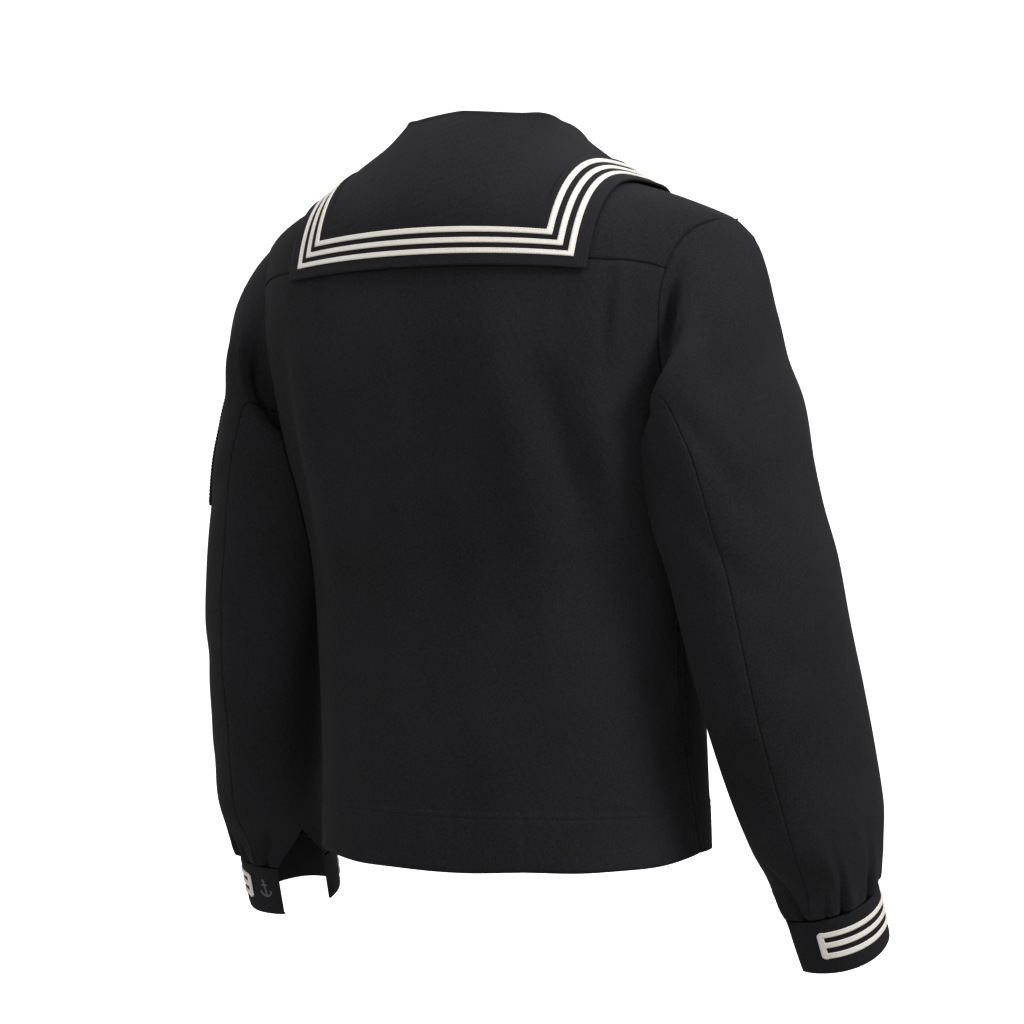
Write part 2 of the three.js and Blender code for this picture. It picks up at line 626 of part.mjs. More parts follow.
function sleeveEllipse(angle, value) {
  const tilt = degrees(value('tilt'));
  const pitch = degrees(value('pitch'));
  const spin = degrees(value('turn'));
  const out = new THREE.Vector3(Math.cos(tilt), 0, Math.sin(tilt));
  const rear = new THREE.Vector3(0, Math.cos(pitch), Math.sin(pitch));
  const outReach = value('out') * rounded(Math.cos(angle), SLEEVE_SQUARE);
  const rearReach = value('fore') * rounded(Math.sin(angle), SLEEVE_SQUARE);
  const raised = Math.pow(Math.max(Math.sin(angle - degrees(REAR_LIFT_TURN)), 0), 2);
  return new THREE.Vector3(value('x'), value('y'), value('z') + value('lift') * raised)
    .addScaledVector(out, outReach * Math.cos(spin) - rearReach * Math.sin(spin))
    .addScaledVector(rear, outReach * Math.sin(spin) + rearReach * Math.cos(spin));
}

function sleeveMiddle(row) {
  const value = (column) => smooth(SLEEVE, 'row', column, row);
  return new THREE.Vector3(value('x'), value('y'), value('z'));
}

// The armhole's edge, moved out of the body panels by the seam's gap
function armholePoint(turn) {
  const angle = ((turn % 360) + 360) % 360;
  const side = angle <= 180 ? 1 : -1;
  const z = ARMHOLE_MIDDLE_Z + ARMHOLE_HALF_HEIGHT * Math.cos(degrees(angle));
  const x = smooth(ARMHOLE, 'turn', side > 0 ? 'back' : 'front', side > 0 ? angle : 360 - angle);
  const point = archPoint(x, archTurn(x, z, side));
  point.x += ARMHOLE_GAP + TIP_GAP * Math.pow(Math.max(Math.cos(degrees(turn)), 0), 2);
  return point;
}

// Sleeve cloth that would enter the body is pushed straight out from the body's middle
function clearOfBody(point, row) {
  const ring = (column) => smooth(BODY_RINGS, 'z', column, point.z);
  const square = ring('square');
  const gap = BODY_CLEARANCE * Math.min(row, 1);
  const across = Math.abs(point.x) / (ring('width') + gap);
  const fore = Math.abs(point.y - ring('middle')) / (ring('depth') + gap);
  const share = Math.pow(across, square) + Math.pow(fore, square);
  if (share >= 1 || row === 0) return point;
  const push = Math.pow(share, -1 / square) - 1;
  const reach = easeIn((CLEAR_TOP_Z - point.z) / CLEAR_FADE);
  point.x += point.x * push * reach;
  point.y += (point.y - ring('middle')) * push * reach;
  return point;
}

// Soft gathers above the cuff, as a move along the sleeve's outward direction
function gatherHeight(turn, row) {
  const share = limit((row - GATHER_TOP_ROW) / (WRIST_ROW - GATHER_TOP_ROW), 0, 1);
  return GATHER_DEPTH * share * (1 - 0.4 * share) * Math.sin(degrees(turn * GATHER_COUNT));
}

const slitShare = (row) => limit((row - SLIT_TOP_ROW) / (WRIST_ROW - SLIT_TOP_ROW), 0, 1);
const slitStart = (row, arm) => mix(SLIT_TURN - SLIT_HALF_TURN, arm.cuffEnd, slitShare(row));
const slitEnd = (row) => mix(SLIT_TURN + SLIT_HALF_TURN, CUFF_START_TURN, slitShare(row));

// A grid of the sleeve between two angles that may change from row to row
function sleeveGrid(arm, rows, columns, startTurn, endTurn) {
  const at = (i, j) => {
    const row = heightAt(rows, i);
    return sleevePoint(mix(startTurn(row), endTurn(row), j / columns), row, arm);
  };
  const inside = sleeveMiddle(heightAt(rows, (rows.length - 1) / 2));
  const grid = facingFrom(inside, sampleGrid(at, rows.length - 1, columns));
  grid.points.forEach((pointRow, i) => pointRow.forEach((point, j) => {
    const row = rows[i];
    const turn = mix(startTurn(row), endTurn(row), j / columns);
    point.addScaledVector(grid.normals[i][j], gatherHeight(turn, row));
  }));
  return grid;
}

const rearSeam = (row) => smooth(REAR_SEAM, 'row', 'turn', row);
const ARM_ROWS = [0, 0.6, 1.3, 2.1, 3, 4, 5, 6, 7, 8, 9, 10, 11];
const GATHER_ROWS = [11.7, 12.2, SLIT_TOP_ROW, 13.35, 13.99];
const SLEEVE_ROWS = [...ARM_ROWS, ...GATHER_ROWS];

function sleeveTop(arm) {
  const start = () => FRONT_SLEEVE_SEAM - 360 + SLEEVE_SEAM_TURN;
  const end = (row) => rearSeam(row) - SLEEVE_SEAM_TURN;
  return wall(sleeveGrid(arm, SLEEVE_ROWS, 16, start, end), -CLOTH, 0);
}

function sleeveUnder(arm) {
  const rearEdge = (row) => slitStart(row, arm);
  const rear = sleeveGrid(arm, SLEEVE_ROWS, 4, (row) => rearSeam(row) + SLEEVE_SEAM_TURN, rearEdge);
  const inner = sleeveGrid(arm, SLEEVE_ROWS, 6, slitEnd, () => FRONT_SLEEVE_SEAM - SLEEVE_SEAM_TURN);
  const grid = {
    points: rear.points.map((row, i) => [...row, ...inner.points[i]]),
    normals: rear.normals.map((row, i) => [...row, ...inner.normals[i]]),
  };
  const topRow = SLEEVE_ROWS.indexOf(SLIT_TOP_ROW);
  return wall(grid, -CLOTH, 0, (i, j) => i >= topRow && j === 4);
}

// The open band of the cuff, from its inner end round the front to the end at the rear
function cuff(arm) {
  const columns = 22;
  const rows = 3;
  const at = (i, j) => sleevePoint(mix(CUFF_START_TURN, arm.cuffEnd + 360, j / columns),
    mix(WRIST_ROW, CUFF_END_ROW, i / rows), arm);
  const grid = facingFrom(sleeveMiddle(WRIST_ROW), sampleGrid(at, rows, columns));
  return wall(grid, -CUFF_CLOTH, 0);
}

// Three bars of tape round the cuff, joined at their rear end
function cuffTapes(arm) {
  const columns = 16;
  const edges = [];
  for (let bar = 0; bar < 3; bar += 1) {
    const first = CUFF_TAPE_FIRST + bar * TAPE_PITCH;
    edges.push(first, first + TAPE_WIDTH);
  }
  const share = (j) => {
    if (j < columns - 1) return CUFF_BAR_SHARE * j / (columns - 1);
    return mix(CUFF_BAR_SHARE, 1, j - columns + 1);
  };
  const at = (i, j) => {
    const low = Math.min(Math.floor(i), edges.length - 2);
    const down = mix(edges[low], edges[low + 1], i - low) / CUFF_HEIGHT;
    return sleevePoint(mix(CUFF_TAPE_START_TURN, arm.tapeEnd, share(j)),
      mix(WRIST_ROW, CUFF_END_ROW, down), arm);
  };
  const grid = facingFrom(sleeveMiddle(WRIST_ROW), sampleGrid(at, edges.length - 1, columns));
  const open = (i, j) => i % 2 === 1 && j < columns - 1;
  return wall(grid, CUFF_TAPE_GAP, CUFF_TAPE_GAP + TAPE_CLOTH, open);
}

function sleevePatch() {
  const rows = 6;
  const columns = 7;
  const at = (i, j) => sleevePoint(mix(PATCH.rearTurn, PATCH.frontTurn, j / columns),
    mix(PATCH.topRow, PATCH.endRow, i / rows), LEFT_ARM);
  const grid = facingFrom(sleeveMiddle(PATCH.topRow), sampleGrid(at, rows, columns));
  return wall(grid, PATCH_GAP, PATCH_GAP + PATCH_CLOTH);
}

// A plain anchor: shank with a ring, a stock and two curved arms
function anchorShape() {
  const { height, width, bar, stockHalf, stockBelowTop, ring, armRise, armCurve } = ANCHOR;
  const half = bar / 2;
  const top = height / 2;
  const stock = top - stockBelowTop;
  const tip = width / 2;
  const inner = 0.36 * width;
  const outer = 0.46 * width;
  const shape = new THREE.Shape();
  shape.moveTo(-half, stock + half);
  shape.lineTo(-half, top - 2 * ring + 0.4);
  shape.absarc(0, top - ring + 0.2, ring, Math.PI * 1.2, -Math.PI * 0.2, true);
  shape.lineTo(half, stock + half);
  shape.lineTo(stockHalf, stock + half);
  shape.lineTo(stockHalf, stock - half);
  shape.lineTo(half, stock - half);
  shape.lineTo(half, armCurve - 1 - top);
  shape.quadraticCurveTo(inner, armCurve - top, tip - bar, armRise + 0.4 - top);
  shape.lineTo(tip, armRise - top);
  shape.quadraticCurveTo(outer, bar - top, 0, -top);
  shape.quadraticCurveTo(-outer, bar - top, -tip, armRise - top);
  shape.lineTo(bar - tip, armRise + 0.4 - top);
  shape.quadraticCurveTo(-inner, armCurve - top, -half, armCurve - 1 - top);
  shape.lineTo(-half, stock - half);
  shape.lineTo(-stockHalf, stock - half);
  shape.lineTo(-stockHalf, stock + half);
  shape.closePath();
  return shape;
}

function cuffAnchor() {
  const geometry = new THREE.ExtrudeGeometry(anchorShape(), {
    depth: ANCHOR.thick, bevelEnabled: false, curveSegments: 4,
  });
  const row = mix(WRIST_ROW, CUFF_END_ROW, ANCHOR.down);
  const at = (turn, place) => sleevePoint(turn, place, LEFT_ARM);
  const middle = at(ANCHOR.turn, row);
  const along = at(ANCHOR.turn + 1, row).sub(at(ANCHOR.turn - 1, row)).normalize();
  const up = at(ANCHOR.turn, row - 0.1).sub(at(ANCHOR.turn, row + 0.1)).normalize();
  const out = new THREE.Vector3().crossVectors(along, up).normalize();
  if (out.y < 0) out.negate();
  const right = new THREE.Vector3().crossVectors(up, out).normalize();
  const frame = new THREE.Matrix4().makeBasis(right, up, out);
  frame.setPosition(middle.addScaledVector(out, ANCHOR.raise));
  geometry.rotateZ(ANCHOR.lean);
  geometry.applyMatrix4(frame);
  geometry.deleteAttribute('uv');
  return geometry;
}

const group = new THREE.Group();

function add(name, geometry, colour, roughness = 0.9) {
  const material = new THREE.MeshStandardMaterial({ color: colour, roughness, metalness: 0 });
  const mesh = new THREE.Mesh(geometry, material);
  mesh.name = name;
  group.add(mesh);
}

add('back_panel', backPanel(), COLOURS.cloth);
add('front_panel', frontPanel(), COLOURS.cloth);
add('yoke', yoke(), COLOURS.cloth);
add('sailor_collar', sailorCollar(), COLOURS.collar);
['outer', 'middle', 'inner'].forEach((name, k) => {
  const rim = COLLAR_TAPE_BORDER + TAPE_WIDTH / 2 + k * TAPE_PITCH;
  add(`collar_tape_${name}`, collarTape(rim), COLOURS.tape, 0.7);
});

const sleeveParts = {
  sleeve_top: [sleeveTop, COLOURS.cloth],
  sleeve_under: [sleeveUnder, COLOURS.cloth],
  cuff: [cuff, COLOURS.cloth],
  cuff_tapes: [cuffTapes, COLOURS.tape],
};
for (const [name, [make, colour]] of Object.entries(sleeveParts)) {
  add(`${name}_left`, make(LEFT_ARM), colour);
  add(`${name}_right`, mirrored(make(RIGHT_ARM)), colour);
}
add('sleeve_patch_left', sleevePatch(), COLOURS.cloth);
add('cuff_anchor_left', cuffAnchor(), COLOURS.anchor, 0.6);

export default group;
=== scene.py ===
# Sailor jumper, filled out as if worn: cloth, folds, seams, stitching and finishes.
# Forms are worked out in millimetres in the part's frame and become metres in the meshes.
import math

import bmesh
import bpy
import numpy as np
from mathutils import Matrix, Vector


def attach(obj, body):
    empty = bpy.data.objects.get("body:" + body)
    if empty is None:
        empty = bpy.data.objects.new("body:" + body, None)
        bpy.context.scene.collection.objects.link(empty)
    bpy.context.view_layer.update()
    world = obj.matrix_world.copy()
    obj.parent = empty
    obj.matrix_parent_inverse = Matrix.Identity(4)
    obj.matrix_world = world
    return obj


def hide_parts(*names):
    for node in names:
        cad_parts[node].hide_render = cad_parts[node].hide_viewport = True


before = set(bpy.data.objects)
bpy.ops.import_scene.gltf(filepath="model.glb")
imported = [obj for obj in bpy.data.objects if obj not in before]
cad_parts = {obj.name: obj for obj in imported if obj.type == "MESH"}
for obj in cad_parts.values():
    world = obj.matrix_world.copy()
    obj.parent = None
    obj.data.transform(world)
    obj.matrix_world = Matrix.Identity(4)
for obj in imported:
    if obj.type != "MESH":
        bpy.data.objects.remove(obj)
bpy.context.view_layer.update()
MM = 0.001


def table(columns, *rows):
    """Rows of numbers under named columns, of which the first one rises"""
    return dict(zip(columns.split(), np.array(rows, float).T))


# Body, as in the solids
UNDERARM_Z, YOKE_SEAM_Z, FRONT_SEAM_Z, HEM_Z = -245, -92, -65, -603
HEM_DROP_BACK, HEM_DROP_HEIGHT = 12, 107
BODY_RINGS = table(
    "z width depth middle square",
    (-620, 182, 126, -56, 2.3),
    (-530, 181, 124, -52, 2.3),
    (-440, 181, 123, -46, 2.3),
    (-350, 183, 122, -38, 2.35),
    (-290, 188, 121, -24, 2.45),
    (-245, 194, 121, -12, 2.55),
    (-200, 196, 126, -9, 2.7),
    (-150, 198, 130, -8, 2.8),
    (-90, 198, 130, -8, 2.8),
)
UNDERARM_WIDTH = 194
SIDE_SEAM_LEAN = 10
ARCH_SQUARE = 3.2
SHOULDER_SPREAD = 0.14
SHOULDER_TOP, SHOULDER_SLOPE, SHOULDER_CURVE, SHOULDER_SWEEP = 12, 0.09, 0.00085, 1.2
SHOULDER_TIP_X, SHOULDER_TIP_Y = 226, -44
ARMHOLE_MIDDLE_Z, ARMHOLE_HALF_HEIGHT = -148.4, 96.6
ARMHOLE = table(
    "turn back front",
    (0, 226, 226),
    (15, 219, 218),
    (30, 210, 208),
    (50, 201, 197),
    (70, 195, 190),
    (90, 193, 187),
    (110, 192, 186.5),
    (130, 191.5, 187),
    (150, 191.5, 188.5),
    (165, 192.8, 191.5),
    (180, 194, 194),
)
NECK_HALF_WIDTH, NECK_BACK_TURN = 72, 72
V_POINT_X, V_POINT_Z = 5, -204
BODY_MIDDLE = np.array((0.0, -12.0, -245.0))

# Sleeve sections, as in the solids
SLEEVE_SQUARE = 2.2
SLEEVE = table(
    "row x y z out fore tilt turn pitch lift",
    (0, 210, -20, -148.4, 97.9, 72, 80.6, 0, 0, 0),
    (1, 222, -22, -158.8, 91.3, 74, 76.5, 2, 0, 6),
    (2, 229, -21, -174, 80.9, 77, 69.9, 5, 0, 13),
    (3, 231, -20, -192.5, 67, 82, 61.8, 10, 0, 20),
    (4, 228, -17, -214.5, 54, 87, 48.8, 15, 0, 28),
    (5, 226, -15, -238.5, 54, 90, 29.4, 18, -2, 30),
    (6, 226, -16, -267.5, 59, 88, 11, 19, -4, 24),
    (7, 232, -22, -310, 62, 83, 7, 22, -7, 14),
    (8, 243, -30, -354, 61, 79, 7, 24, -10, 6),
    (9, 253.5, -38, -410, 58, 77, 8, 24, -13, 0),
    (10, 262, -55, -470, 56, 75.5, 8, 23, -16, 0),
    (11, 271, -74, -530, 54, 72, 8, 20, -18, 0),
    (12, 279, -88, -577, 52, 65, 8, 16, -20, 0),
    (13, 281, -103, -612, 48.5, 53, 8, 9, -20, 0),
    (14, 278, -114, -643, 45, 48, 8, 0, -20, 0),
    (15, 283, -137, -690.5, 42, 48, 5, 0, -20, 0),
)
# The rear seam; near the armhole it lies further under the arm than in the solids
REAR_SEAM = table(
    "row turn",
    (0, 134), (1, 131), (2, 124), (3, 112), (4, 92), (5, 76), (6, 63), (7, 57),
    (8.5, 55), (10, 57), (11, 61), (12, 69), (13, 80), (14, 88),
)
REAR_LIFT_TURN = 20
WRIST_ROW, ARMHOLE_FADE_ROW, RAISE_ROW = 14, 5, 9
FRONT_SLEEVE_SEAM = 235
BODY_CLEARANCE, CLEAR_TOP_Z, CLEAR_FADE = 1.2, -130, 30
ARMHOLE_GAP = -0.9
SLIT_TOP_ROW, SLIT_TURN, CUFF_START_TURN = 12.7, 140, 178
ARMS = {
    "left": {"side": 1, "raise": 15, "cuff_end": 108, "tape_end": 68, "fold": 0.35, "drop": 9},
    "right": {"side": -1, "raise": 0, "cuff_end": 118, "tape_end": 86, "fold": 1.0, "drop": 0},
}
CUFF_HEIGHT = 51

# Sailor collar, as in the solids
COLLAR_CORNER, COLLAR_SHOULDER = 0.36, 0.6
COLLAR_HALF_WIDTH_LOW, COLLAR_HALF_WIDTH_SHOULDER = 143, 149
COLLAR_LOW_Z, COLLAR_CORNER_DROP, COLLAR_SLOPE = -96, 6, 0.93
COLLAR_FRONT_X, COLLAR_FRONT_Z, COLLAR_FRONT_SLANT = 50, -196, 0.12
COLLAR_RIM_BAND, COLLAR_LANDING_SPREAD = 40, 0.06
COLLAR_SHAPE = table(
    "along rise lean lift swell roll",
    (0, 30, 27, 5, 3, 3.2),
    (0.3, 34, 18, 4.5, 3, 3.2),
    (0.45, 37, 12, 3.6, 6, 3.2),
    (0.6, 34, 11, 3.6, 11, 3.2),
    (0.75, 20, 9, 3.2, 9, 2.6),
    (0.9, 9, 3, 2.8, 2, 1.8),
    (1, 4, 0.6, 2.6, 0, 1.6),
)
NECK_MIDDLE = np.array((0.0, -60.0, -82.0))
# The tapes are drawn a little narrower than in the solids
TAPE_WIDTH, TAPE_PITCH, COLLAR_TAPE_BORDER, COLLAR_TAPE_END = 4.8, 9.5, 10.5, 0.985
CUFF_TAPE_START_TURN, CUFF_TAPE_FIRST = -150, 12.5

# Cloth thicknesses
WOOL, COLLAR_CLOTH, CUFF_CLOTH, TAPE_THICK, PATCH_THICK = 1.9, 2.2, 2.6, 0.8, 1.1

# Creases of the body, in millimetres over the panel: start x and z, end x and z, half width,
# and height out of the cloth
BACK_CREASES = (
    (-62, -125, -92, -350, 24, 6.5),
    (-92, -350, -100, -480, 26, 3.0),
    (-108, -185, -136, -330, 15, -6.5),
    (-136, -330, -150, -430, 16, -3.0),
    (-148, -200, -156, -330, 13, 4.2),
    (5, -108, -5, -400, 21, -4.2),
    (52, -150, 40, -420, 26, 1.8),
    (132, -170, 119, -400, 18, 5.0),
    (126, -400, 132, -590, 14, 2.6),
    (158, -150, 150, -330, 12, -5.0),
    (-170, -96, -166, -168, 4.5, 2.2),
    (-160, -96, -157, -185, 5.5, -2.2),
    (-181, -108, -176, -195, 6, -2.0),
    (-128, -108, -122, -170, 8, -1.1),
    (104, -100, 107, -165, 7, -1.2),
    (62, -400, 30, -590, 30, 2.2),
    (-20, -420, -56, -600, 24, 2.0),
    (-165, -436, -183, -472, 14, -3.4),
    (-120, -500, -150, -560, 18, 1.4),
)

FRONT_CREASES = (
    (150, -230, 96, -330, 14, -5.0),
    (-150, -230, -100, -340, 14, -5.0),
    (120, -260, 110, -520, 20, 4.2),
    (-116, -280, -100, -540, 20, 4.2),
    (50, -230, 40, -560, 26, -3.6),
    (-46, -240, -64, -580, 26, -3.6),
    (0, -240, 6, -590, 30, 3.4),
    (165, -330, 160, -560, 14, -3.0),
    (-165, -320, -158, -560, 14, -3.0),
    (110, -110, 150, -190, 10, -1.6),
    (-112, -110, -150, -190, 10, -1.6),
)

# Creases of a sleeve: start and end as turn and row, half width in millimetres and height
RIGHT_CREASES = (
    (64, 0.5, 100, 0.9, 17, -12.0),
    (74, 1.2, 100, 1.8, 9, 2.6),
    (60, 1.4, 40, 4.6, 14, -3.4),
    (22, 1.5, 8, 5.5, 20, 2.4),
    (74, 4.6, 20, 7.0, 15, -3.2),
    (84, 6.6, 30, 8.4, 13, -2.4),
    (60, 8.6, 0, 9.6, 16, -1.8),
    (95, 9.2, 40, 10.6, 13, 1.6),
    (40, 10.4, -20, 11.4, 16, -1.6),
    (110, 4.6, 130, 7.4, 12, 2.2),
    (-40, 4.0, -60, 8.0, 16, -2.2),
    (-95, 5.0, -60, 9.5, 15, -2.4),
)
LEFT_CREASES = (
    (92, 0.6, 124, 2.4, 16, -8.0),
    (74, 1.4, 98, 3.6, 9, 3.0),
    (50, 1.4, 30, 4.6, 14, -2.6),
    (76, 5.8, 16, 6.8, 13, -2.2),
    (96, 7.2, 44, 8.4, 13, 1.8),
    (52, 8.8, -10, 9.8, 15, -2.2),
    (88, 9.6, 30, 10.9, 13, -1.5),
    (24, 10.6, -40, 11.8, 14, 1.6),
    (120, 5.0, 140, 8.0, 12, 2.0),
    (-60, 4.5, -60, 9.0, 15, -2.4),
)

# Pleats above a cuff: turn, half width in degrees, depth, first row, and how far its crease leans
CUFF_PLEATS = (
    (-112, 7, 4.0, 12.0, 1.0),
    (-84, 6, 3.4, 12.5, 0.6),
    (-55, 7, 4.6, 11.7, 1.0),
    (-28, 6, 3.6, 12.4, 0.8),
    (4, 6, 5.2, 11.4, 0.9),
    (41, 6.5, 6.0, 11.5, 1.0),
    (63, 4.5, 2.6, 12.9, 0.6),
    (84, 6, 5.0, 12.0, -0.7),
    (208, 7, 3.4, 12.2, 0.8),
)


def smooth(rows, column, at):
    """Smooth value of a column at places along the table's first column"""
    key = rows[next(iter(rows))]
    values = rows[column]
    last = len(key) - 1
    place = np.clip(at, key[0], key[last])
    low = np.clip(np.searchsorted(key, place, side="right") - 1, 0, last - 1)
    high = low + 1
    before = np.maximum(low - 1, 0)
    after = np.minimum(high + 1, last)
    span = key[high] - key[low]
    start_slope = (values[high] - values[before]) / (key[high] - key[before]) * span
    end_slope = (values[after] - values[low]) / (key[after] - key[low]) * span
    u = (place - key[low]) / span
    square, cube = u * u, u * u * u
    return (
        (2 * cube - 3 * square + 1) * values[low]
        + (cube - 2 * square + u) * start_slope
        + (3 * square - 2 * cube) * values[high]
        + (cube - square) * end_slope
    )


def ring(column, z):
    return smooth(BODY_RINGS, column, z)


def rounded(value, square):
    return np.sign(value) * np.abs(value) ** (2 / square)


def ease(value):
    share = np.clip(value, 0, 1)
    return share * share * (3 - 2 * share)


def mix(start, end, share):
    return start + (end - start) * share


def bell(distance, width):
    return np.exp(-((distance / width) ** 2))


def turned_from(turn, at):
    """Angle from one turn to another, between -180 and 180"""
    return np.mod(turn - at + 180, 360) - 180


def stacked(x, y, z):
    return np.stack(np.broadcast_arrays(x, y, z), axis=-1).astype(float)


def unit(vectors):
    return vectors / np.maximum(np.linalg.norm(vectors, axis=-1, keepdims=True), 1e-9)


def shoulder_z(x):
    return SHOULDER_TOP - SHOULDER_SLOPE * np.abs(x) - SHOULDER_CURVE * x * x


def shoulder_y(x):
    return SHOULDER_TIP_Y * (np.abs(x) / SHOULDER_TIP_X) ** SHOULDER_SWEEP


def arch_point(x, turn):
    """A point of the body at an arch angle: 0 low on the back, 90 the shoulder line"""
    rise = np.abs(np.sin(np.radians(turn))) ** (2 / ARCH_SQUARE)
    reach = rounded(np.cos(np.radians(turn)), ARCH_SQUARE)
    z = UNDERARM_Z + (shoulder_z(x) - UNDERARM_Z) * rise
    square = ring("square", z)
    low_x = np.abs(x) / (1 + SHOULDER_SPREAD * rise**1.5)
    share = np.minimum(low_x / ring("width", z), 1)
    low_depth = ring("depth", z) * (1 - share**square) ** (1 / square)
    top_y = shoulder_y(x)
    low_y = ring("middle", z) + np.where(reach < 0, -1, 1) * low_depth
    return stacked(x, top_y + (low_y - top_y) * np.abs(reach), z)


def arch_turn(x, z, side):
    """The arch angle at a height; side is 1 on the back and -1 in front"""
    share = np.clip((z - UNDERARM_Z) / (shoulder_z(x) - UNDERARM_Z), 0, 1)
    turn = np.degrees(np.arcsin(share ** (ARCH_SQUARE / 2)))
    return turn if side > 0 else 180 - turn


def ring_point(angle, z):
    square = ring("square", z)
    x = ring("width", z) * rounded(np.sin(np.radians(angle)), square)
    fore = ring("depth", z) * rounded(np.cos(np.radians(angle)), square)
    return stacked(x, ring("middle", z) + fore, z)


def armhole_x(z, side):
    share = np.clip((z - ARMHOLE_MIDDLE_Z) / ARMHOLE_HALF_HEIGHT, -1, 1)
    return smooth(ARMHOLE, "back" if side > 0 else "front", np.degrees(np.arccos(share)))


def panel_point(across, z, side):
    """A point of a body panel: across runs from -1 to 1, edge to edge, at a height"""
    height = np.clip((z - HEM_Z) / (UNDERARM_Z - HEM_Z), 0, 1)
    lean = SIDE_SEAM_LEAN * np.sin(np.pi * height)
    reach = 90 - side * lean
    angle = across * reach if side > 0 else 180 - across * reach
    low = ring_point(angle, np.minimum(z, UNDERARM_Z))
    edge = armhole_x(z, side)
    rise = np.clip((z - UNDERARM_Z) / (shoulder_z(edge) - UNDERARM_Z), 0, 1)
    square = ring("square", z)
    width = ring("width", z) * (1 + SHOULDER_SPREAD * rise**1.5)
    spread = np.arcsin(np.minimum(edge / width, 1) ** (square / 2))
    x = edge * rounded(np.sin(across * spread) / np.sin(spread), square)
    high = arch_point(x, arch_turn(x, z, side))
    return np.where((z <= UNDERARM_Z)[..., None], low, high)


def creases(rows, across, down, round_scale=1.0):
    """Height of soft troughs and ridges, each along a line between two places"""
    total = np.zeros(np.broadcast(across, down).shape)
    for start_a, start_d, end_a, end_d, width, height in rows:
        line_a, line_d = (end_a - start_a) * round_scale, end_d - start_d
        from_a, from_d = (across - start_a) * round_scale, down - start_d
        share = np.clip((from_a * line_a + from_d * line_d) / (line_a**2 + line_d**2), 0, 1)
        far = np.hypot(from_a - share * line_a, from_d - share * line_d)
        taper = 0.25 + 0.75 * np.sin(np.pi * share) ** 0.8
        total += height * taper * bell(far, width)
    return total


def grid_normals(grid, inside):
    """Outward directions of a grid of points, turned away from a point behind it"""
    down = np.gradient(grid, axis=0)
    across = np.gradient(grid, axis=1)
    normals = unit(np.cross(across, down))
    middle = (grid.shape[0] // 2, grid.shape[1] // 2)
    if np.dot(grid[middle] - inside, normals[middle]) < 0:
        return -normals
    return normals


def moved_out(grid, inside, height):
    return grid + grid_normals(grid, inside) * np.asarray(height)[..., None]


def seam_dip(distance, width=1.6, depth=0.9):
    """The cloth turns in where it is sewn to its neighbour"""
    return -depth * bell(distance, width)


def row_dips(edge, rows, dip):
    return sum(seam_dip(edge - at, *dip) for at in rows)


def linear(hex_colour):
    """An sRGB hex colour as linear red, green, blue and alpha"""
    parts = [int(hex_colour[k : k + 2], 16) / 255 for k in (1, 3, 5)]
    light = [p / 12.92 if p <= 0.04045 else ((p + 0.055) / 1.055) ** 2.4 for p in parts]
    return (*light, 1.0)


def add(tree, kind, settings=None, links=None):
    """Adds a node with its settings, by property or socket name, and its links; a source is an
    output, or a node for its first one"""
    node = tree.nodes.new(kind)
    for name, value in (settings or {}).items():
        if isinstance(name, int) or name in node.inputs:
            node.inputs[name].default_value = value
        else:
            setattr(node, name, value)
    for name, source in (links or {}).items():
        source = source.outputs[0] if isinstance(source, bpy.types.Node) else source
        tree.links.new(source, node.inputs[name])
    return node


def cloth_material(name, colour, light_colour, sheen, shine, thread_mm, bump_mm, diagonal):
    """Woven cloth: thread lines one way across its UV map, turned by an angle, nap over them, worn
    unevenly
    """
    material = bpy.data.materials.new(name)
    material.use_nodes = True
    tree = material.node_tree
    tree.nodes.clear()
    place = add(tree, "ShaderNodeTexCoord")
    turned = add(tree, "ShaderNodeMapping", {"Rotation": (0, 0, math.radians(diagonal))},
                 {"Vector": place.outputs["UV"]})
    lines = 1 / (thread_mm * MM)
    weave = add(tree, "ShaderNodeTexWave", {"Scale": lines / 20, "Distortion": 0.6,
                "Detail": 1.0, "Detail Scale": 1.0}, {"Vector": turned})
    nap = add(tree, "ShaderNodeTexNoise", {"Scale": 620.0, "Detail": 3.0, "Roughness": 0.65},
              {"Vector": place.outputs["Object"]})
    patches = add(tree, "ShaderNodeTexNoise", {"Scale": 9.0, "Detail": 3.0},
                  {"Vector": place.outputs["Object"]})
    height = add(tree, "ShaderNodeMath", {"operation": "MULTIPLY_ADD", 1: 0.45},
                 {0: weave.outputs["Fac"], 2: nap.outputs["Fac"]})
    shade = add(tree, "ShaderNodeMath", {"operation": "MULTIPLY_ADD", 1: 0.45},
                {0: patches.outputs["Fac"], 2: nap.outputs["Fac"]})
    ramp = add(tree, "ShaderNodeValToRGB", None, {"Fac": shade})
    ramp.color_ramp.elements[0].position = 0.45
    ramp.color_ramp.elements[0].color = linear(colour)
    ramp.color_ramp.elements[1].color = linear(light_colour)
    bump = add(tree, "ShaderNodeBump", {"Strength": 0.6, "Distance": bump_mm * MM}, {"Height": height})
    shader = add(tree, "ShaderNodeBsdfPrincipled",
                 {"Roughness": 0.85, "Sheen Weight": sheen, "Sheen Roughness": 0.5,
                  "Specular IOR Level": shine},
                 {"Base Color": ramp, "Normal": bump})
    add(tree, "ShaderNodeOutputMaterial", None, {"Surface": shader})
    return material


# Melton wool, woven in a close twill and brushed: matt and near black, with a faint grey nap.
# The real twill is under half a millimetre; it is drawn coarser, so that it shows at all
WOOL_BODY = cloth_material("wool_melton", "#1a1a1b", "#2b2a2d", 0.02, 0.05, 1.3, 0.35, 28)
# The collar's wool is the same cloth, pressed harder, so it shows a little more light
WOOL_COLLAR = cloth_material("wool_collar", "#1a191b", "#2a292c", 0.03, 0.06, 1.3, 0.3, 28)
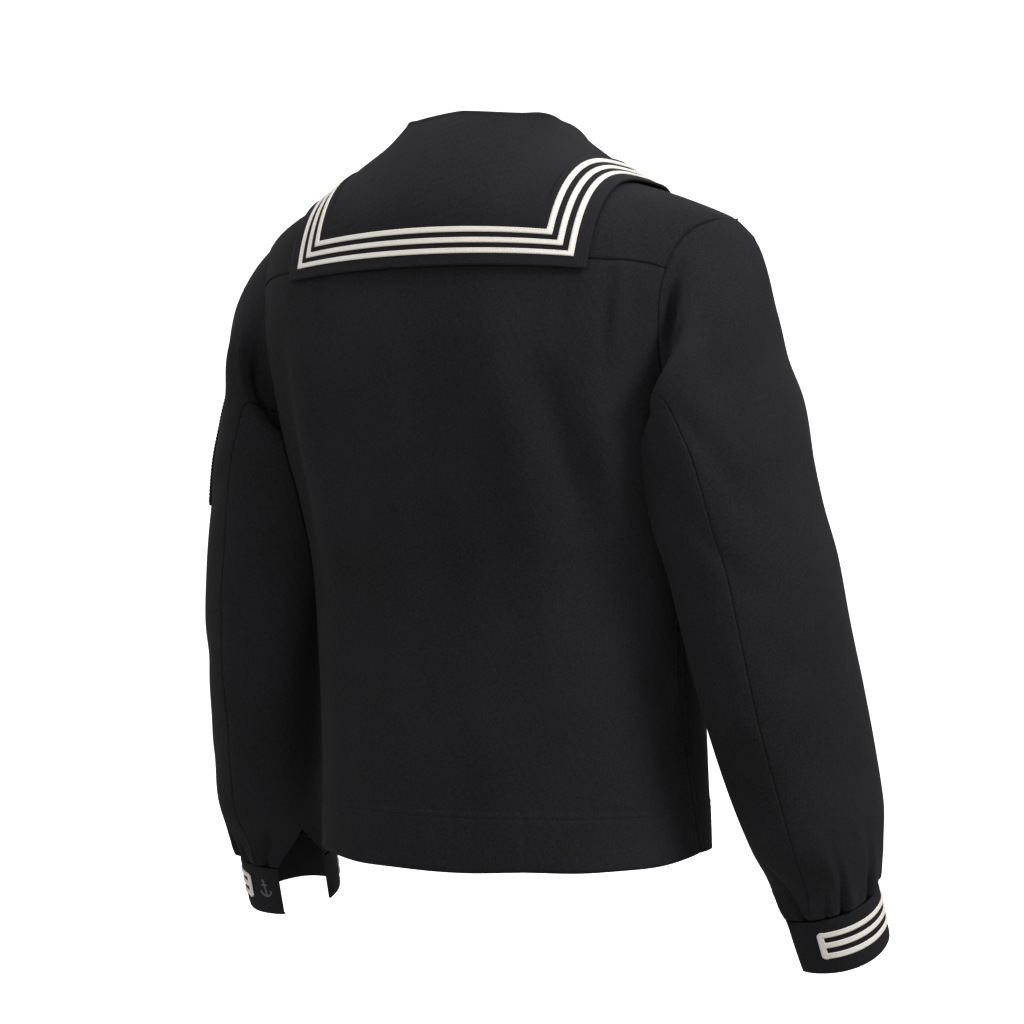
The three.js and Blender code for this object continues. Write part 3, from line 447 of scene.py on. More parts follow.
# Cotton tape: bleached, a soft off-white, with ribs across it drawn about twice as coarse as real
COTTON_TAPE = cloth_material("cotton_tape", "#ebe6db", "#faf7f0", 0.03, 0.15, 1.2, 0.25, 90)
# Twisted polyester thread: a slight gloss that catches the light on each stitch; one to match the
# wool and one to match the tape. Its twist is drawn coarser than real
THREAD_DARK = cloth_material("thread_dark", "#1f1f21", "#2b2b2e", 0.02, 0.3, 0.5, 0.1, 0)
THREAD_PALE = cloth_material("thread_pale", "#c9c3b7", "#e6e1d6", 0.02, 0.3, 0.5, 0.1, 0)
# Rayon embroidery: grey satin stitches that lie close together, drawn coarser than the real thread
EMBROIDERY = cloth_material("embroidery_grey", "#454549", "#66666b", 0.05, 0.3, 0.9, 0.25, 0)


def lengths(grid, axis):
    """Distance along one way of a grid, from its middle line"""
    steps = np.linalg.norm(np.diff(grid, axis=axis), axis=-1)
    total = np.cumsum(steps, axis=axis)
    zero = np.zeros_like(np.take(total, [0], axis=axis))
    total = np.concatenate((zero, total), axis=axis)
    return total - np.take(total, [total.shape[axis] // 2], axis=axis)


def shell(name, grid, thickness, inside, material, keep=None):
    """A closed thin wall whose outer face is the grid; cells that keep leaves out are open"""
    rows, columns = grid.shape[:2]
    normals = grid_normals(grid, inside)
    inner = grid - normals * thickness
    points = np.concatenate((grid.reshape(-1, 3), inner.reshape(-1, 3))) * MM
    count = rows * columns
    index = np.arange(count).reshape(rows, columns)
    keep = np.ones((rows - 1, columns - 1), bool) if keep is None else keep
    corners = np.stack((index[:-1, :-1], index[:-1, 1:], index[1:, 1:], index[1:, :-1]), -1)
    faces = corners[keep]
    first = points[faces[len(faces) // 2]]
    turned = np.cross(first[1] - first[0], first[3] - first[0])
    normal = normals.reshape(-1, 3)[faces[len(faces) // 2][0]]
    if np.dot(turned, normal) < 0:
        faces = faces[:, ::-1]
    quads = [faces, faces[:, ::-1] + count]
    edges = np.concatenate([faces[:, [k, (k + 1) % 4]] for k in range(4)])
    _, place, uses = np.unique(
        np.sort(edges, axis=1), axis=0, return_index=True, return_counts=True
    )
    rim = edges[place[uses == 1]]
    quads.append(np.stack((rim[:, 1], rim[:, 0], rim[:, 0] + count, rim[:, 1] + count), -1))
    quads = np.concatenate(quads)
    used, quads = np.unique(quads, return_inverse=True)
    quads = quads.reshape(-1, 4)
    u = lengths(grid, 1).reshape(-1) * MM
    v = lengths(grid, 0).reshape(-1) * MM
    flat = np.tile(np.stack((u, v), -1), (2, 1))[used]
    return mesh_object(name, points[used], quads, material, flat)


def placed(name, data):
    """A new object in the scene"""
    made = bpy.data.objects.new(name, data)
    bpy.context.scene.collection.objects.link(made)
    return made


def mesh_object(name, points, faces, material, flat):
    mesh = bpy.data.meshes.new(name)
    mesh.from_pydata(points.tolist(), [], np.asarray(faces).tolist())
    mesh.shade_smooth()
    layer = mesh.uv_layers.new(name="cloth")
    loops = np.zeros(len(mesh.loops), int)
    mesh.loops.foreach_get("vertex_index", loops)
    layer.data.foreach_set("uv", flat[loops].reshape(-1).astype(np.float32))
    mesh.materials.append(material)
    mesh.update()
    return placed(name, mesh)


def add_to_object(piece, slot_name, *nodes):
    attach(piece, "root")
    if nodes:
        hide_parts(*nodes)
    return piece


CLOTHS = {"body_wool": WOOL_BODY, "collar_wool": WOOL_COLLAR, "tape": COTTON_TAPE}


def cloth_on(node, grid, thickness, inside, slot_name="body_wool", keep=None, name=None):
    """Cloth that takes the place of a node of the solids"""
    made = shell(name or f"{node}_cloth", grid, thickness, inside, CLOTHS[slot_name], keep)
    return add_to_object(made, slot_name, node)


# Rows of stitches, gathered as the cloth is made and sewn at the end, and how proud they are
DARK_ROWS, PALE_ROWS, THREAD_PROUD = [], [], 0.12
# Sizes of a stitch, in millimetres, in the wool and in the tapes
DARK_STITCH = {"Pitch": 3.3, "Length": 2.4, "Width": 0.5}
PALE_STITCH = {"Pitch": 2.6, "Length": 2.1, "Width": 0.45}
# Turned hem: its height, the space between its two rows of stitches, and how it stands proud
HEM_HEIGHT, HEM_ROW_SPACE, HEM_PROUD, HEM_JOIN_X = 44, 4.5, 0.8, -69
# Rows of stitches, as distances from the edge of a panel, and how far the yoke's seam droops
ARMHOLE_ROWS, SIDE_ROWS, SEAM_DROOP = (1.8, 6.0), (1.6, 6.4), 8
# Width and depth of the dips at a sewn edge, along the armhole's and the side's stitches
EDGE_DIP, ARMHOLE_DIP, SIDE_DIP, HEM_DIP = (1.3, 1.0), (1.0, 0.35), (1.1, 0.45), (1.3, 0.5)
# The edge stands up a little where its allowance lies under it: width, fade, panel, yoke
RIDGE_WIDTH, RIDGE_FADE, PANEL_RIDGE, YOKE_RIDGE = 6, 2, 0.5, 0.3
# The hem's puckers, and how a seam allowance turns in: heights past the seam, rise and dip
PUCKER, PUCKER_REACH, TUCK_STEPS, TUCK_RISE, TUCK_DIP = 0.25, 9, (0.8, 1.6, 3.0), 1.6, (2.0, 1.1)
# Steps of a grid next to a seam, and how far they go on
FINE_STEP, FINE_REACH = 1.15, 10


def hem_relief(x, z, across, side):
    """The turned hem is thicker up to its stitches, which draw the cloth in a little"""
    up = z - HEM_Z
    thick = HEM_PROUD * (1 - ease((up - HEM_HEIGHT) / 2))
    rows = row_dips(up - HEM_HEIGHT, (0, -HEM_ROW_SPACE), HEM_DIP)
    pucker = PUCKER * np.sin(across * 95 + np.sin(across * 31)) * bell(up - HEM_HEIGHT, PUCKER_REACH)
    join_dip = (1 - ease((up - HEM_HEIGHT) / 3)) * seam_dip(x - HEM_JOIN_X, 2.2, 0.9)
    return thick + rows + pucker + (join_dip if side > 0 else 0)


def hem_drop(z, across, side):
    """The hem hangs lower in the middle of the back, and wavers a little"""
    low = np.maximum(1 - (z - HEM_Z) / HEM_DROP_HEIGHT, 0) ** 2
    drop = HEM_DROP_BACK * (1 - across**2) if side > 0 else 0
    waver = 1.1 * np.sin(across * 7.3 + 0.6) + 0.6 * np.sin(across * 17 + 2)
    return (drop + waver * (1 - across**2)) * low


def body_relief(grid, z, across, side):
    """Everything that stands out of a body panel or sinks into it"""
    rows = BACK_CREASES if side > 0 else FRONT_CREASES
    height = creases(rows, grid[..., 0], z) * ease((1 - np.abs(across)) * 10)
    edge = (1 - np.abs(across)) * UNDERARM_WIDTH
    above = ease((z - UNDERARM_Z) / 12)
    ridge = PANEL_RIDGE * above * (1 - ease((edge - RIDGE_WIDTH) / RIDGE_FADE))
    side_lines = (1 - above) * row_dips(edge, SIDE_ROWS, SIDE_DIP)
    armhole_rows = above * row_dips(edge, ARMHOLE_ROWS, ARMHOLE_DIP)
    return height + ridge + side_lines + armhole_rows + seam_dip(edge, *EDGE_DIP)


def panel_heights(low_rows, high_rows, top):
    """Heights from the hem up, closer at the hem's stitches, and past the top for the tuck"""
    low = np.linspace(HEM_Z, UNDERARM_Z, low_rows, endpoint=False)
    fine = HEM_Z + np.arange(HEM_HEIGHT - HEM_ROW_SPACE - 4, HEM_HEIGHT + 4, FINE_STEP)
    low = np.union1d(low, fine)
    high = UNDERARM_Z + (top - UNDERARM_Z) * np.linspace(0, 1, high_rows) ** 1.15
    return np.concatenate((low, high, top + np.array(TUCK_STEPS)))


def fine_at_ends(count, span):
    """Shares from 0 to 1, closer together near 1, where a seam is"""
    return np.union1d(np.linspace(0, 1, count), 1 - np.arange(0, FINE_REACH, FINE_STEP) / span)


def tucked(z, top):
    """The seam allowance turns in under its neighbour"""
    return seam_dip(np.minimum(z - top, 0), *TUCK_DIP) - WOOL * ease((z - top) / TUCK_RISE)


def droop(z, across):
    """The yoke's back seam curves down to the armholes, and the cloth under it follows"""
    share = np.clip((z - UNDERARM_Z) / (YOKE_SEAM_Z - UNDERARM_Z), 0, 1)
    return SEAM_DROOP * np.abs(across) ** 5 * share**2


def panel_grid(z, across, side, top):
    """A body panel with all that stands out of it, its hem lowered and its top turned in"""
    grid = panel_point(across, z - (droop(z, across) if side > 0 else 0), side)
    relief = body_relief(grid, z, across, side) + hem_relief(grid[..., 0], z, across, side)
    relief += tucked(z, top)
    grid[..., 2] -= hem_drop(z, across, side)
    return moved_out(grid, BODY_MIDDLE, relief)


def back_grid(rows_low=104, rows_high=62, half=92):
    share = fine_at_ends(half, UNDERARM_WIDTH)
    z, across = np.meshgrid(panel_heights(rows_low, rows_high, YOKE_SEAM_Z),
                            np.concatenate((-share[:0:-1], share)), indexing="ij")
    return panel_grid(z, across, 1, YOKE_SEAM_Z), z, across


def neck_edge_x(z):
    share = np.clip((z - V_POINT_Z) / (shoulder_z(NECK_HALF_WIDTH) - V_POINT_Z), 0, 1)
    return mix(V_POINT_X, NECK_HALF_WIDTH, share)


def front_grid(rows_low=88, rows_high=66, half=64):
    """The front, as two halves that part at the V of the neck, and the cells to keep"""
    heights = panel_heights(rows_low, rows_high, FRONT_SEAM_Z)
    point_row = int(np.argmax(heights > V_POINT_Z)) - 1
    heights[point_row] = V_POINT_Z
    z, share = np.meshgrid(heights, fine_at_ends(half, UNDERARM_WIDTH), indexing="ij")
    start = 0.8 * neck_edge_x(z) / panel_point(np.ones_like(z), z, -1)[..., 0]
    across = mix(start, 1, share)
    across = np.concatenate((-across[:, ::-1], across), axis=1)
    z = np.concatenate((z, z), axis=1)
    keep = np.ones((len(heights) - 1, z.shape[1] - 1), bool)
    keep[point_row:, z.shape[1] // 2 - 1] = False
    return panel_grid(z, across, -1, FRONT_SEAM_Z), z, across, keep


# Yoke: depth, steps of its back, and at the shoulder's tip the dip, its reach and where it starts
YOKE_DEPTH, YOKE_BACK_STEPS, TIP_DIP, TIP_REACH, TIP_SHARE = 90, 60, 1.5, 7, 0.07


def yoke_grid(back_steps=YOKE_BACK_STEPS, arm_steps=38, front_steps=32, rows=52):
    """The yoke from the back seam and the armholes in to the neck, and down in front"""
    across = np.linspace(0, 1, back_steps, endpoint=False)
    seam_z = YOKE_SEAM_Z - droop(YOKE_SEAM_Z, across)
    seam_x = panel_point(across, seam_z, 1)[:, 0]
    outer = list(zip(seam_x, arch_turn(seam_x, seam_z, 1)))
    low_end = YOKE_SEAM_Z - SEAM_DROOP
    for side, z_end, steps in ((1, low_end, arm_steps), (-1, FRONT_SEAM_Z, front_steps)):
        end = math.acos((z_end - ARMHOLE_MIDDLE_Z) / ARMHOLE_HALF_HEIGHT)
        for share in np.linspace(TIP_SHARE, 1, steps)[::-side]:
            z = ARMHOLE_MIDDLE_Z + ARMHOLE_HALF_HEIGHT * math.cos(share * end)
            x = float(armhole_x(np.array(z), side))
            outer.append((x, float(arch_turn(x, z, side))))
    inner = []
    for k in range(back_steps + arm_steps):
        turn_round = math.pi / 2 * k / (back_steps + arm_steps)
        turn = 90 - (90 - NECK_BACK_TURN) * math.cos(turn_round)
        inner.append((NECK_HALF_WIDTH * math.sin(turn_round), turn))
    neck_turn = float(arch_turn(neck_edge_x(FRONT_SEAM_Z), FRONT_SEAM_Z, -1))
    for k in range(front_steps):
        turn = mix(90, neck_turn, k / (front_steps - 1))
        rise = math.sin(math.radians(turn)) ** (2 / ARCH_SQUARE)
        z = UNDERARM_Z + (shoulder_z(NECK_HALF_WIDTH) - UNDERARM_Z) * rise
        inner.append((float(neck_edge_x(z)), turn))
    outer, inner = np.array(outer), np.array(inner)
    share = np.linspace(0, 1, rows)
    share = np.union1d(share, np.arange(0, FINE_REACH, FINE_STEP) / YOKE_DEPTH)[:, None, None]
    place = mix(outer[None], inner[None], share)
    front_turn = arch_turn(place[:, -1, 0], np.full(len(place), float(FRONT_SEAM_Z)), -1)
    ramp = np.zeros(place.shape[1])
    ramp[-front_steps:] = ease(np.linspace(0, 1, front_steps))
    place[..., 1] += (front_turn - place[:, -1, 1])[:, None] * ramp
    half = arch_point(place[..., 0], place[..., 1])
    flipped = half[:, :0:-1] * (-1, 1, 1)
    grid = np.concatenate((flipped, half), axis=1)
    edge = lengths(grid, 0) - lengths(grid, 0)[:1]
    ridge = YOKE_RIDGE * (1 - ease((edge - RIDGE_WIDTH) / RIDGE_FADE)) + seam_dip(edge, *EDGE_DIP)
    tip = TIP_DIP * bell(np.abs(grid[..., 0]) - SHOULDER_TIP_X, TIP_REACH)
    relief = ridge + row_dips(edge, ARMHOLE_ROWS, ARMHOLE_DIP) - tip
    return moved_out(grid, BODY_MIDDLE, relief), edge


def sleeve_ellipse(angle, row):
    tilt, pitch, spin = (np.radians(smooth(SLEEVE, name, row)) for name in ("tilt", "pitch", "turn"))
    x, y, z, out, fore, lift = (
        smooth(SLEEVE, name, row) for name in ("x", "y", "z", "out", "fore", "lift")
    )
    out_reach = out * rounded(np.cos(angle), SLEEVE_SQUARE)
    rear_reach = fore * rounded(np.sin(angle), SLEEVE_SQUARE)
    raised = np.maximum(np.sin(angle - np.radians(REAR_LIFT_TURN)), 0) ** 2
    out = out_reach * np.cos(spin) - rear_reach * np.sin(spin)
    rear = out_reach * np.sin(spin) + rear_reach * np.cos(spin)
    height = z + lift * raised + out * np.sin(tilt) + rear * np.sin(pitch)
    return stacked(x + out * np.cos(tilt), y + rear * np.cos(pitch), height)


def armhole_point(turn):
    """The armhole's edge, a little out of the body panels"""
    angle = np.mod(turn, 360)
    z = ARMHOLE_MIDDLE_Z + ARMHOLE_HALF_HEIGHT * np.cos(np.radians(angle))
    back_x = smooth(ARMHOLE, "back", angle)
    front_x = smooth(ARMHOLE, "front", 360 - angle)
    back = arch_point(back_x, arch_turn(back_x, z, 1))
    front = arch_point(front_x, arch_turn(front_x, z, -1))
    point = np.where((angle <= 180)[..., None], back, front)
    point[..., 0] += ARMHOLE_GAP
    return point


def clear_of_body(point, row):
    """Sleeve cloth that would enter the body is pushed out from the body's middle"""
    x, y, z = point[..., 0], point[..., 1], point[..., 2]
    square = ring("square", z)
    middle = ring("middle", z)
    gap = BODY_CLEARANCE * np.minimum(row, 1)
    across = np.abs(x) / (ring("width", z) + gap)
    fore = np.abs(y - middle) / (ring("depth", z) + gap)
    share = across**square + fore**square
    push = np.where((share < 1) & (row > 0), np.maximum(share, 1e-6) ** (-1 / square) - 1, 0)
    push = push * ease((CLEAR_TOP_Z - z) / CLEAR_FADE)
    return stacked(x + x * push, y + (y - middle) * push, z)


# The fold that the hanging sleeve makes behind the underarm: its place and how far it comes
FOLD_TURN, FOLD_SPREAD, FOLD_ROW, FOLD_ROWS, FOLD_IN, FOLD_REAR = 106, 40, 3.2, 1.3, 12, 23


def sleeve_point(turn, row, arm):
    """A point of the left sleeve: turn is 0 outward, 90 to the rear, 180 at the body"""
    angle = np.radians(turn)
    point = sleeve_ellipse(angle, row)
    fade = ease(np.minimum(row / ARMHOLE_FADE_ROW, 1))[..., None]
    point = point + (armhole_point(turn) - sleeve_ellipse(angle, 0 * row)) * (1 - fade)
    point[..., 2] += arm["raise"] * ease((row - RAISE_ROW) / (WRIST_ROW - RAISE_ROW))
    fold = bell(turned_from(turn, FOLD_TURN), FOLD_SPREAD) * bell(row - FOLD_ROW, FOLD_ROWS)
    fold = arm["fold"] * fold * ease(row)
    point[..., 0] -= FOLD_IN * fold
    point[..., 1] += FOLD_REAR * fold
    away = (0.5 - 0.5 * np.cos(angle - np.radians(SLIT_TURN))) ** 1.5
    point[..., 2] -= arm["drop"] * away * ease((row - SLIT_TOP_ROW + 1) / 2)
    return clear_of_body(point, row)


def sleeve_middle(row):
    return np.array([float(smooth(SLEEVE, axis, np.array(float(row)))) for axis in "xyz"])


# Millimetres for a sleeve's row and for a degree round it and round a cuff, and a part's width
ROW_LENGTH, TURN_LENGTH, CUFF_TURN_LENGTH, SLEEVE_PART_WIDTH = 48, 1.3, 0.8, 150
# Above a cuff the sleeve puffs out: how far, at what height and how high
CUFF_PUFF, PUFF_AT, PUFF_HEIGHT = 0.9, 15, 13
# The sleeve goes on into the cuff: where it starts to turn in, in how many rows, how deep, its end
TUCK_ROW, TUCK_ROWS, CUFF_TUCK_DEPTH, CUFF_TUCK_ROW = 13.93, 0.1, 3.2, 14.12
# A pleat's ridge and crease as shares of its depth, how far apart, and where the ridge runs out
PLEAT_RIDGE, PLEAT_CREASE, PLEAT_APART, RIDGE_END_ROW, RIDGE_END_ROWS = 0.8, 1.2, 1.6, 13.99, 0.12


def sleeve_relief(turn, row, arm):
    """Creases of the sleeve, pleats that run up from the cuff, and the seams' dips"""
    rows = LEFT_CREASES if arm["side"] > 0 else RIGHT_CREASES
    scaled = [(a, b * ROW_LENGTH, c, d * ROW_LENGTH, w, h) for a, b, c, d, w, h in rows]
    wrapped = np.mod(turn + 125, 360) - 125
    height = creases(scaled, wrapped, row * ROW_LENGTH, TURN_LENGTH)
    height = height * ease(row / 0.5) * ease((WRIST_ROW - row) / 0.8)
    for at, width, depth, top, lean in CUFF_PLEATS:
        near = turned_from(turn, at)
        down = np.clip((row - top) / (WRIST_ROW - top), 0, 1)
        strength = depth * down * (1.3 - 0.5 * down)
        spread = width * (1.9 - 0.9 * down)
        crease = near - PLEAT_APART * width * (1 - 2 * lean * (1 - down))
        run_out = ease((RIDGE_END_ROW - row) / RIDGE_END_ROWS)
        height += PLEAT_RIDGE * strength * bell(near, spread) * run_out
        height -= PLEAT_CREASE * strength * bell(crease, 0.5 * spread)
    above_cuff = (WRIST_ROW - row) * ROW_LENGTH
    height += CUFF_PUFF * bell(above_cuff - PUFF_AT, PUFF_HEIGHT) + seam_dip(above_cuff, 2.5, 1.0)
    height += seam_dip(row * ROW_LENGTH, 2.2, 0.5)
    return height - CUFF_TUCK_DEPTH * ease((row - TUCK_ROW) / TUCK_ROWS)


def sleeve_grid(arm, start, end, columns, edges):
    """Part of a sleeve between two angles that change from row to row"""
    fine = np.arange(0, FINE_REACH / 2, FINE_STEP) / SLEEVE_PART_WIDTH
    share = np.union1d(np.linspace(0, 1, columns), np.concatenate((fine, 1 - fine)))[None, :]
    row = SLEEVE_ROWS[:, None] * np.ones_like(share)
    turn = mix(start[:, None], end[:, None], share)
    grid = sleeve_point(turn, row, arm)
    relief = sleeve_relief(turn, row, arm)
    width = (end - start)[:, None] * TURN_LENGTH
    for edge, far in (("start", share), ("end", 1 - share)):
        if edge in edges:
            relief += seam_dip(far * width, 1.2)
    return moved_out(grid, sleeve_middle(7), relief)


def handed(grid, arm):
    return grid * (arm["side"], 1, 1)


# Rows of a sleeve's grid: close near the armhole and the cuff, and on into the cuff
SLEEVE_ROWS = np.concatenate((
    np.linspace(0, ARMHOLE_FADE_ROW, 66, endpoint=False), np.linspace(ARMHOLE_FADE_ROW, 13.88, 122),
    (13.92, 13.96, WRIST_ROW, 14.05, CUFF_TUCK_ROW),
))


def make_sleeve(name, arm):
    rows = SLEEVE_ROWS
    inside = handed(sleeve_middle(7), arm)
    seam = smooth(REAR_SEAM, "turn", rows)
    front = 0 * rows + FRONT_SLEEVE_SEAM
    top = sleeve_grid(arm, front - 360, seam, 118, ("start", "end"))
    made = cloth_on(f"sleeve_top_{name}", handed(top, arm), WOOL, inside)
    slit_row = int(np.argmin(np.abs(rows - SLIT_TOP_ROW)))
    opened = np.clip((rows - rows[slit_row]) / (WRIST_ROW - rows[slit_row]), 0, 1)
    slit_start = mix(SLIT_TURN - 0.05, arm["cuff_end"], opened)
    slit_end = mix(SLIT_TURN + 0.05, CUFF_START_TURN, opened)
    rear = sleeve_grid(arm, seam, slit_start, 42, ("start",))
    inner = sleeve_grid(arm, slit_end, front, 42, ("end",))
    under = np.concatenate((rear, inner), axis=1)
    keep = np.ones((len(rows) - 1, under.shape[1] - 1), bool)
    keep[slit_row:, rear.shape[1] - 1] = False
    made = cloth_on(f"sleeve_under_{name}", handed(under, arm), WOOL, inside, keep=keep)


# Cuff: its middle row, how far it stands off, the dips at its edge and along its stitches, and
# how far in those are
CUFF_MIDDLE_ROW, CUFF_LIFT, CUFF_ROW_IN = 14.5, 0.5, 3.2
CUFF_EDGE_DIP, CUFF_ROW_DIP = (1.6, 1.0), (1.0, 0.4)
# Cuff tapes: where the bars end, the upright bar's half width in degrees, its corner, how far the
# bars and the upright bar stand off
BAR_END, UPRIGHT_HALF, TAPE_CORNER, BAR_LIFT, UPRIGHT_LIFT = 3.0, 3.4, 3.0, 0.75, 0.85


def cuff_place(arm, turn, down):
    """A point of the cuff: down is in millimetres from its top edge"""
    row = WRIST_ROW + down / CUFF_HEIGHT
    return sleeve_point(turn, row * np.ones_like(turn), arm)


def make_cuff(name, arm):
    turn, down = np.meshgrid(np.linspace(CUFF_START_TURN, arm["cuff_end"] + 360, 150),
                             np.linspace(0, CUFF_HEIGHT, 36))
    grid = cuff_place(arm, turn, down)
    edge = np.minimum(down, CUFF_HEIGHT - down)
    ends = np.minimum(turn - CUFF_START_TURN, arm["cuff_end"] + 360 - turn) * CUFF_TURN_LENGTH
    near = np.minimum(edge, ends)
    soft = 0.7 * np.sin(np.radians(turn) * 3 + 1) * np.sin(np.pi * down / CUFF_HEIGHT)
    dips = seam_dip(near, *CUFF_EDGE_DIP) + seam_dip(near - CUFF_ROW_IN, *CUFF_ROW_DIP)
    relief = soft + dips + CUFF_LIFT
    inside = sleeve_middle(CUFF_MIDDLE_ROW)
    grid = moved_out(grid, inside, relief)
    made = cloth_on(f"cuff_{name}", handed(grid, arm), CUFF_CLOTH, handed(inside, arm))


def tape_profile(columns=7):
    """Heights over a tape's width: pressed flat, with rounded edges"""
    share = np.linspace(-1, 1, columns)
    return share, TAPE_THICK * (1 - 0.45 * share**4)


def make_cuff_tapes(name, arm):
    """Three bars round the cuff, joined by an upright bar whose outer corners are rounded"""
    share, profile = tape_profile()
    inside = sleeve_middle(CUFF_MIDDLE_ROW)
    pieces = []
    end_turn = arm["tape_end"]
    half = TAPE_WIDTH / 2
    for bar in range(3):
        middle = CUFF_TAPE_FIRST + half + bar * TAPE_PITCH
        turn, across = np.meshgrid(np.linspace(CUFF_TAPE_START_TURN, end_turn - BAR_END, 150), share)
        grid = cuff_place(arm, turn, middle + across * half)
        pieces.append(moved_out(grid, inside, BAR_LIFT + profile[:, None] + 0 * turn))
    low = CUFF_TAPE_FIRST
    high = CUFF_TAPE_FIRST + 2 * TAPE_PITCH + TAPE_WIDTH
    down, across = np.meshgrid(np.linspace(low, high, 60), share)
    near = np.minimum(down - low, high - down)
    left = np.maximum(TAPE_CORNER - near, 0)
    inset = (TAPE_CORNER - np.sqrt(TAPE_CORNER**2 - left**2)) / CUFF_TURN_LENGTH
    turn = end_turn - UPRIGHT_HALF + across * UPRIGHT_HALF - np.maximum(across, 0) * inset
    grid = cuff_place(arm, turn, down)
    pieces.append(moved_out(grid, inside, UPRIGHT_LIFT + profile[:, None] + 0 * turn))
    for grid in pieces:
        sewn = handed(moved_out(grid, inside, THREAD_PROUD), arm)
        PALE_ROWS.extend((sewn[1], sewn[-2]))
    made = [
        shell(f"cuff_tape_{name}_{k}", handed(grid, arm), TAPE_THICK + 0.6, handed(inside, arm),
              COTTON_TAPE)
        for k, grid in enumerate(pieces)
    ]
    add_to_object(join(f"cuff_tapes_{name}_cloth", made), "tape", f"cuff_tapes_{name}")


def join(name, objects):
    """One object of several meshes"""
    with bpy.context.temp_override(active_object=objects[0], selected_editable_objects=objects):
        bpy.ops.object.join()
    objects[0].name = name
    objects[0].data.name = name
    return objects[0]


def neck_place(along):
    """The neck line as a place on the arch, from the middle of the back to the V point"""
    turn_round = math.pi / 2 * np.minimum(along / COLLAR_SHOULDER, 1) ** 0.85
    back_turn = 90 - (90 - NECK_BACK_TURN) * np.cos(turn_round)
    down = np.clip((along - COLLAR_SHOULDER) / (1 - COLLAR_SHOULDER), 0, 1)
    end_turn = float(arch_turn(V_POINT_X, V_POINT_Z, -1))
    front_turn = mix(90, end_turn, down)
    front_x = mix(NECK_HALF_WIDTH, V_POINT_X, front_share(front_turn, end_turn))
    at_back = along <= COLLAR_SHOULDER
    x = np.where(at_back, NECK_HALF_WIDTH * np.sin(turn_round), front_x)
    return x, np.where(at_back, back_turn, front_turn)


def front_share(turn, end_turn):
    """Share of the height from the shoulder line that an arch angle has gone down"""

    def height(angle):
        return np.abs(np.sin(np.radians(angle))) ** (2 / ARCH_SQUARE)

    return (1 - height(turn)) / (1 - height(end_turn))


def collar_place(along, rim):
    """The collar's lower layer on the arch, some millimetres in from its outline"""
    low_x = COLLAR_HALF_WIDTH_LOW - rim
    shoulder_x = COLLAR_HALF_WIDTH_SHOULDER - rim
    share = np.minimum(along / COLLAR_CORNER, 1)
    low_z = COLLAR_LOW_Z - COLLAR_CORNER_DROP * share**2 + COLLAR_SLOPE * rim
    back_x = low_x * share
    back_turn = arch_turn(back_x, low_z, 1)
    share = np.clip((along - COLLAR_CORNER) / (COLLAR_SHOULDER - COLLAR_CORNER), 0, 1)
    corner_z = COLLAR_LOW_Z - COLLAR_CORNER_DROP + COLLAR_SLOPE * rim
    side_x = mix(low_x, shoulder_x, share)
    side_turn = mix(arch_turn(low_x, corner_z, 1), 90, share)
    share = np.clip((along - COLLAR_SHOULDER) / (1 - COLLAR_SHOULDER), 0, 1)
    end_turn = float(arch_turn(COLLAR_FRONT_X, COLLAR_FRONT_Z, -1))
    front_turn = mix(90, end_turn, share)
    down = front_share(front_turn, end_turn)
    slant = 1 + COLLAR_FRONT_SLANT * np.minimum(down * 3, 1)
    front_x = mix(COLLAR_HALF_WIDTH_SHOULDER, COLLAR_FRONT_X, down) - rim * slant
    x = np.where(along <= COLLAR_CORNER, back_x, np.where(along <= COLLAR_SHOULDER, side_x, front_x))
    turn = np.where(along <= COLLAR_CORNER, back_turn,
                    np.where(along <= COLLAR_SHOULDER, side_turn, front_turn))
    return x, turn


def arch_normal(x, turn):
    step = 0.2
    across = arch_point(x + step, turn) - arch_point(x - step, turn)
    over = arch_point(x, turn + step) - arch_point(x, turn - step)
    normal = unit(np.cross(over, across))
    outward = arch_point(x, turn) - BODY_MIDDLE
    return normal * np.sign((normal * outward).sum(-1))[..., None]


def collar_rim_point(along, rim):
    """Middle of the collar's cloth near its outline"""
    x, turn = collar_place(along, rim)
    inner = rim / COLLAR_RIM_BAND
    lift = smooth(COLLAR_SHAPE, "lift", along) + inner**2 * smooth(COLLAR_SHAPE, "swell", along)
    return arch_point(x, turn) + arch_normal(x, turn) * np.asarray(lift)[..., None]


def collar_landing(along, rim):
    """Where the falling cloth meets the rim band, softened round the corner"""
    before = collar_rim_point(np.maximum(along - COLLAR_LANDING_SPREAD, 0), rim)
    after = collar_rim_point(np.minimum(along + COLLAR_LANDING_SPREAD, 1), rim)
    edge = np.minimum(np.minimum(along, 1 - along), COLLAR_LANDING_SPREAD) / COLLAR_LANDING_SPREAD
    return mix(collar_rim_point(along, rim), (before + after) / 2, 0.6 * edge[..., None])


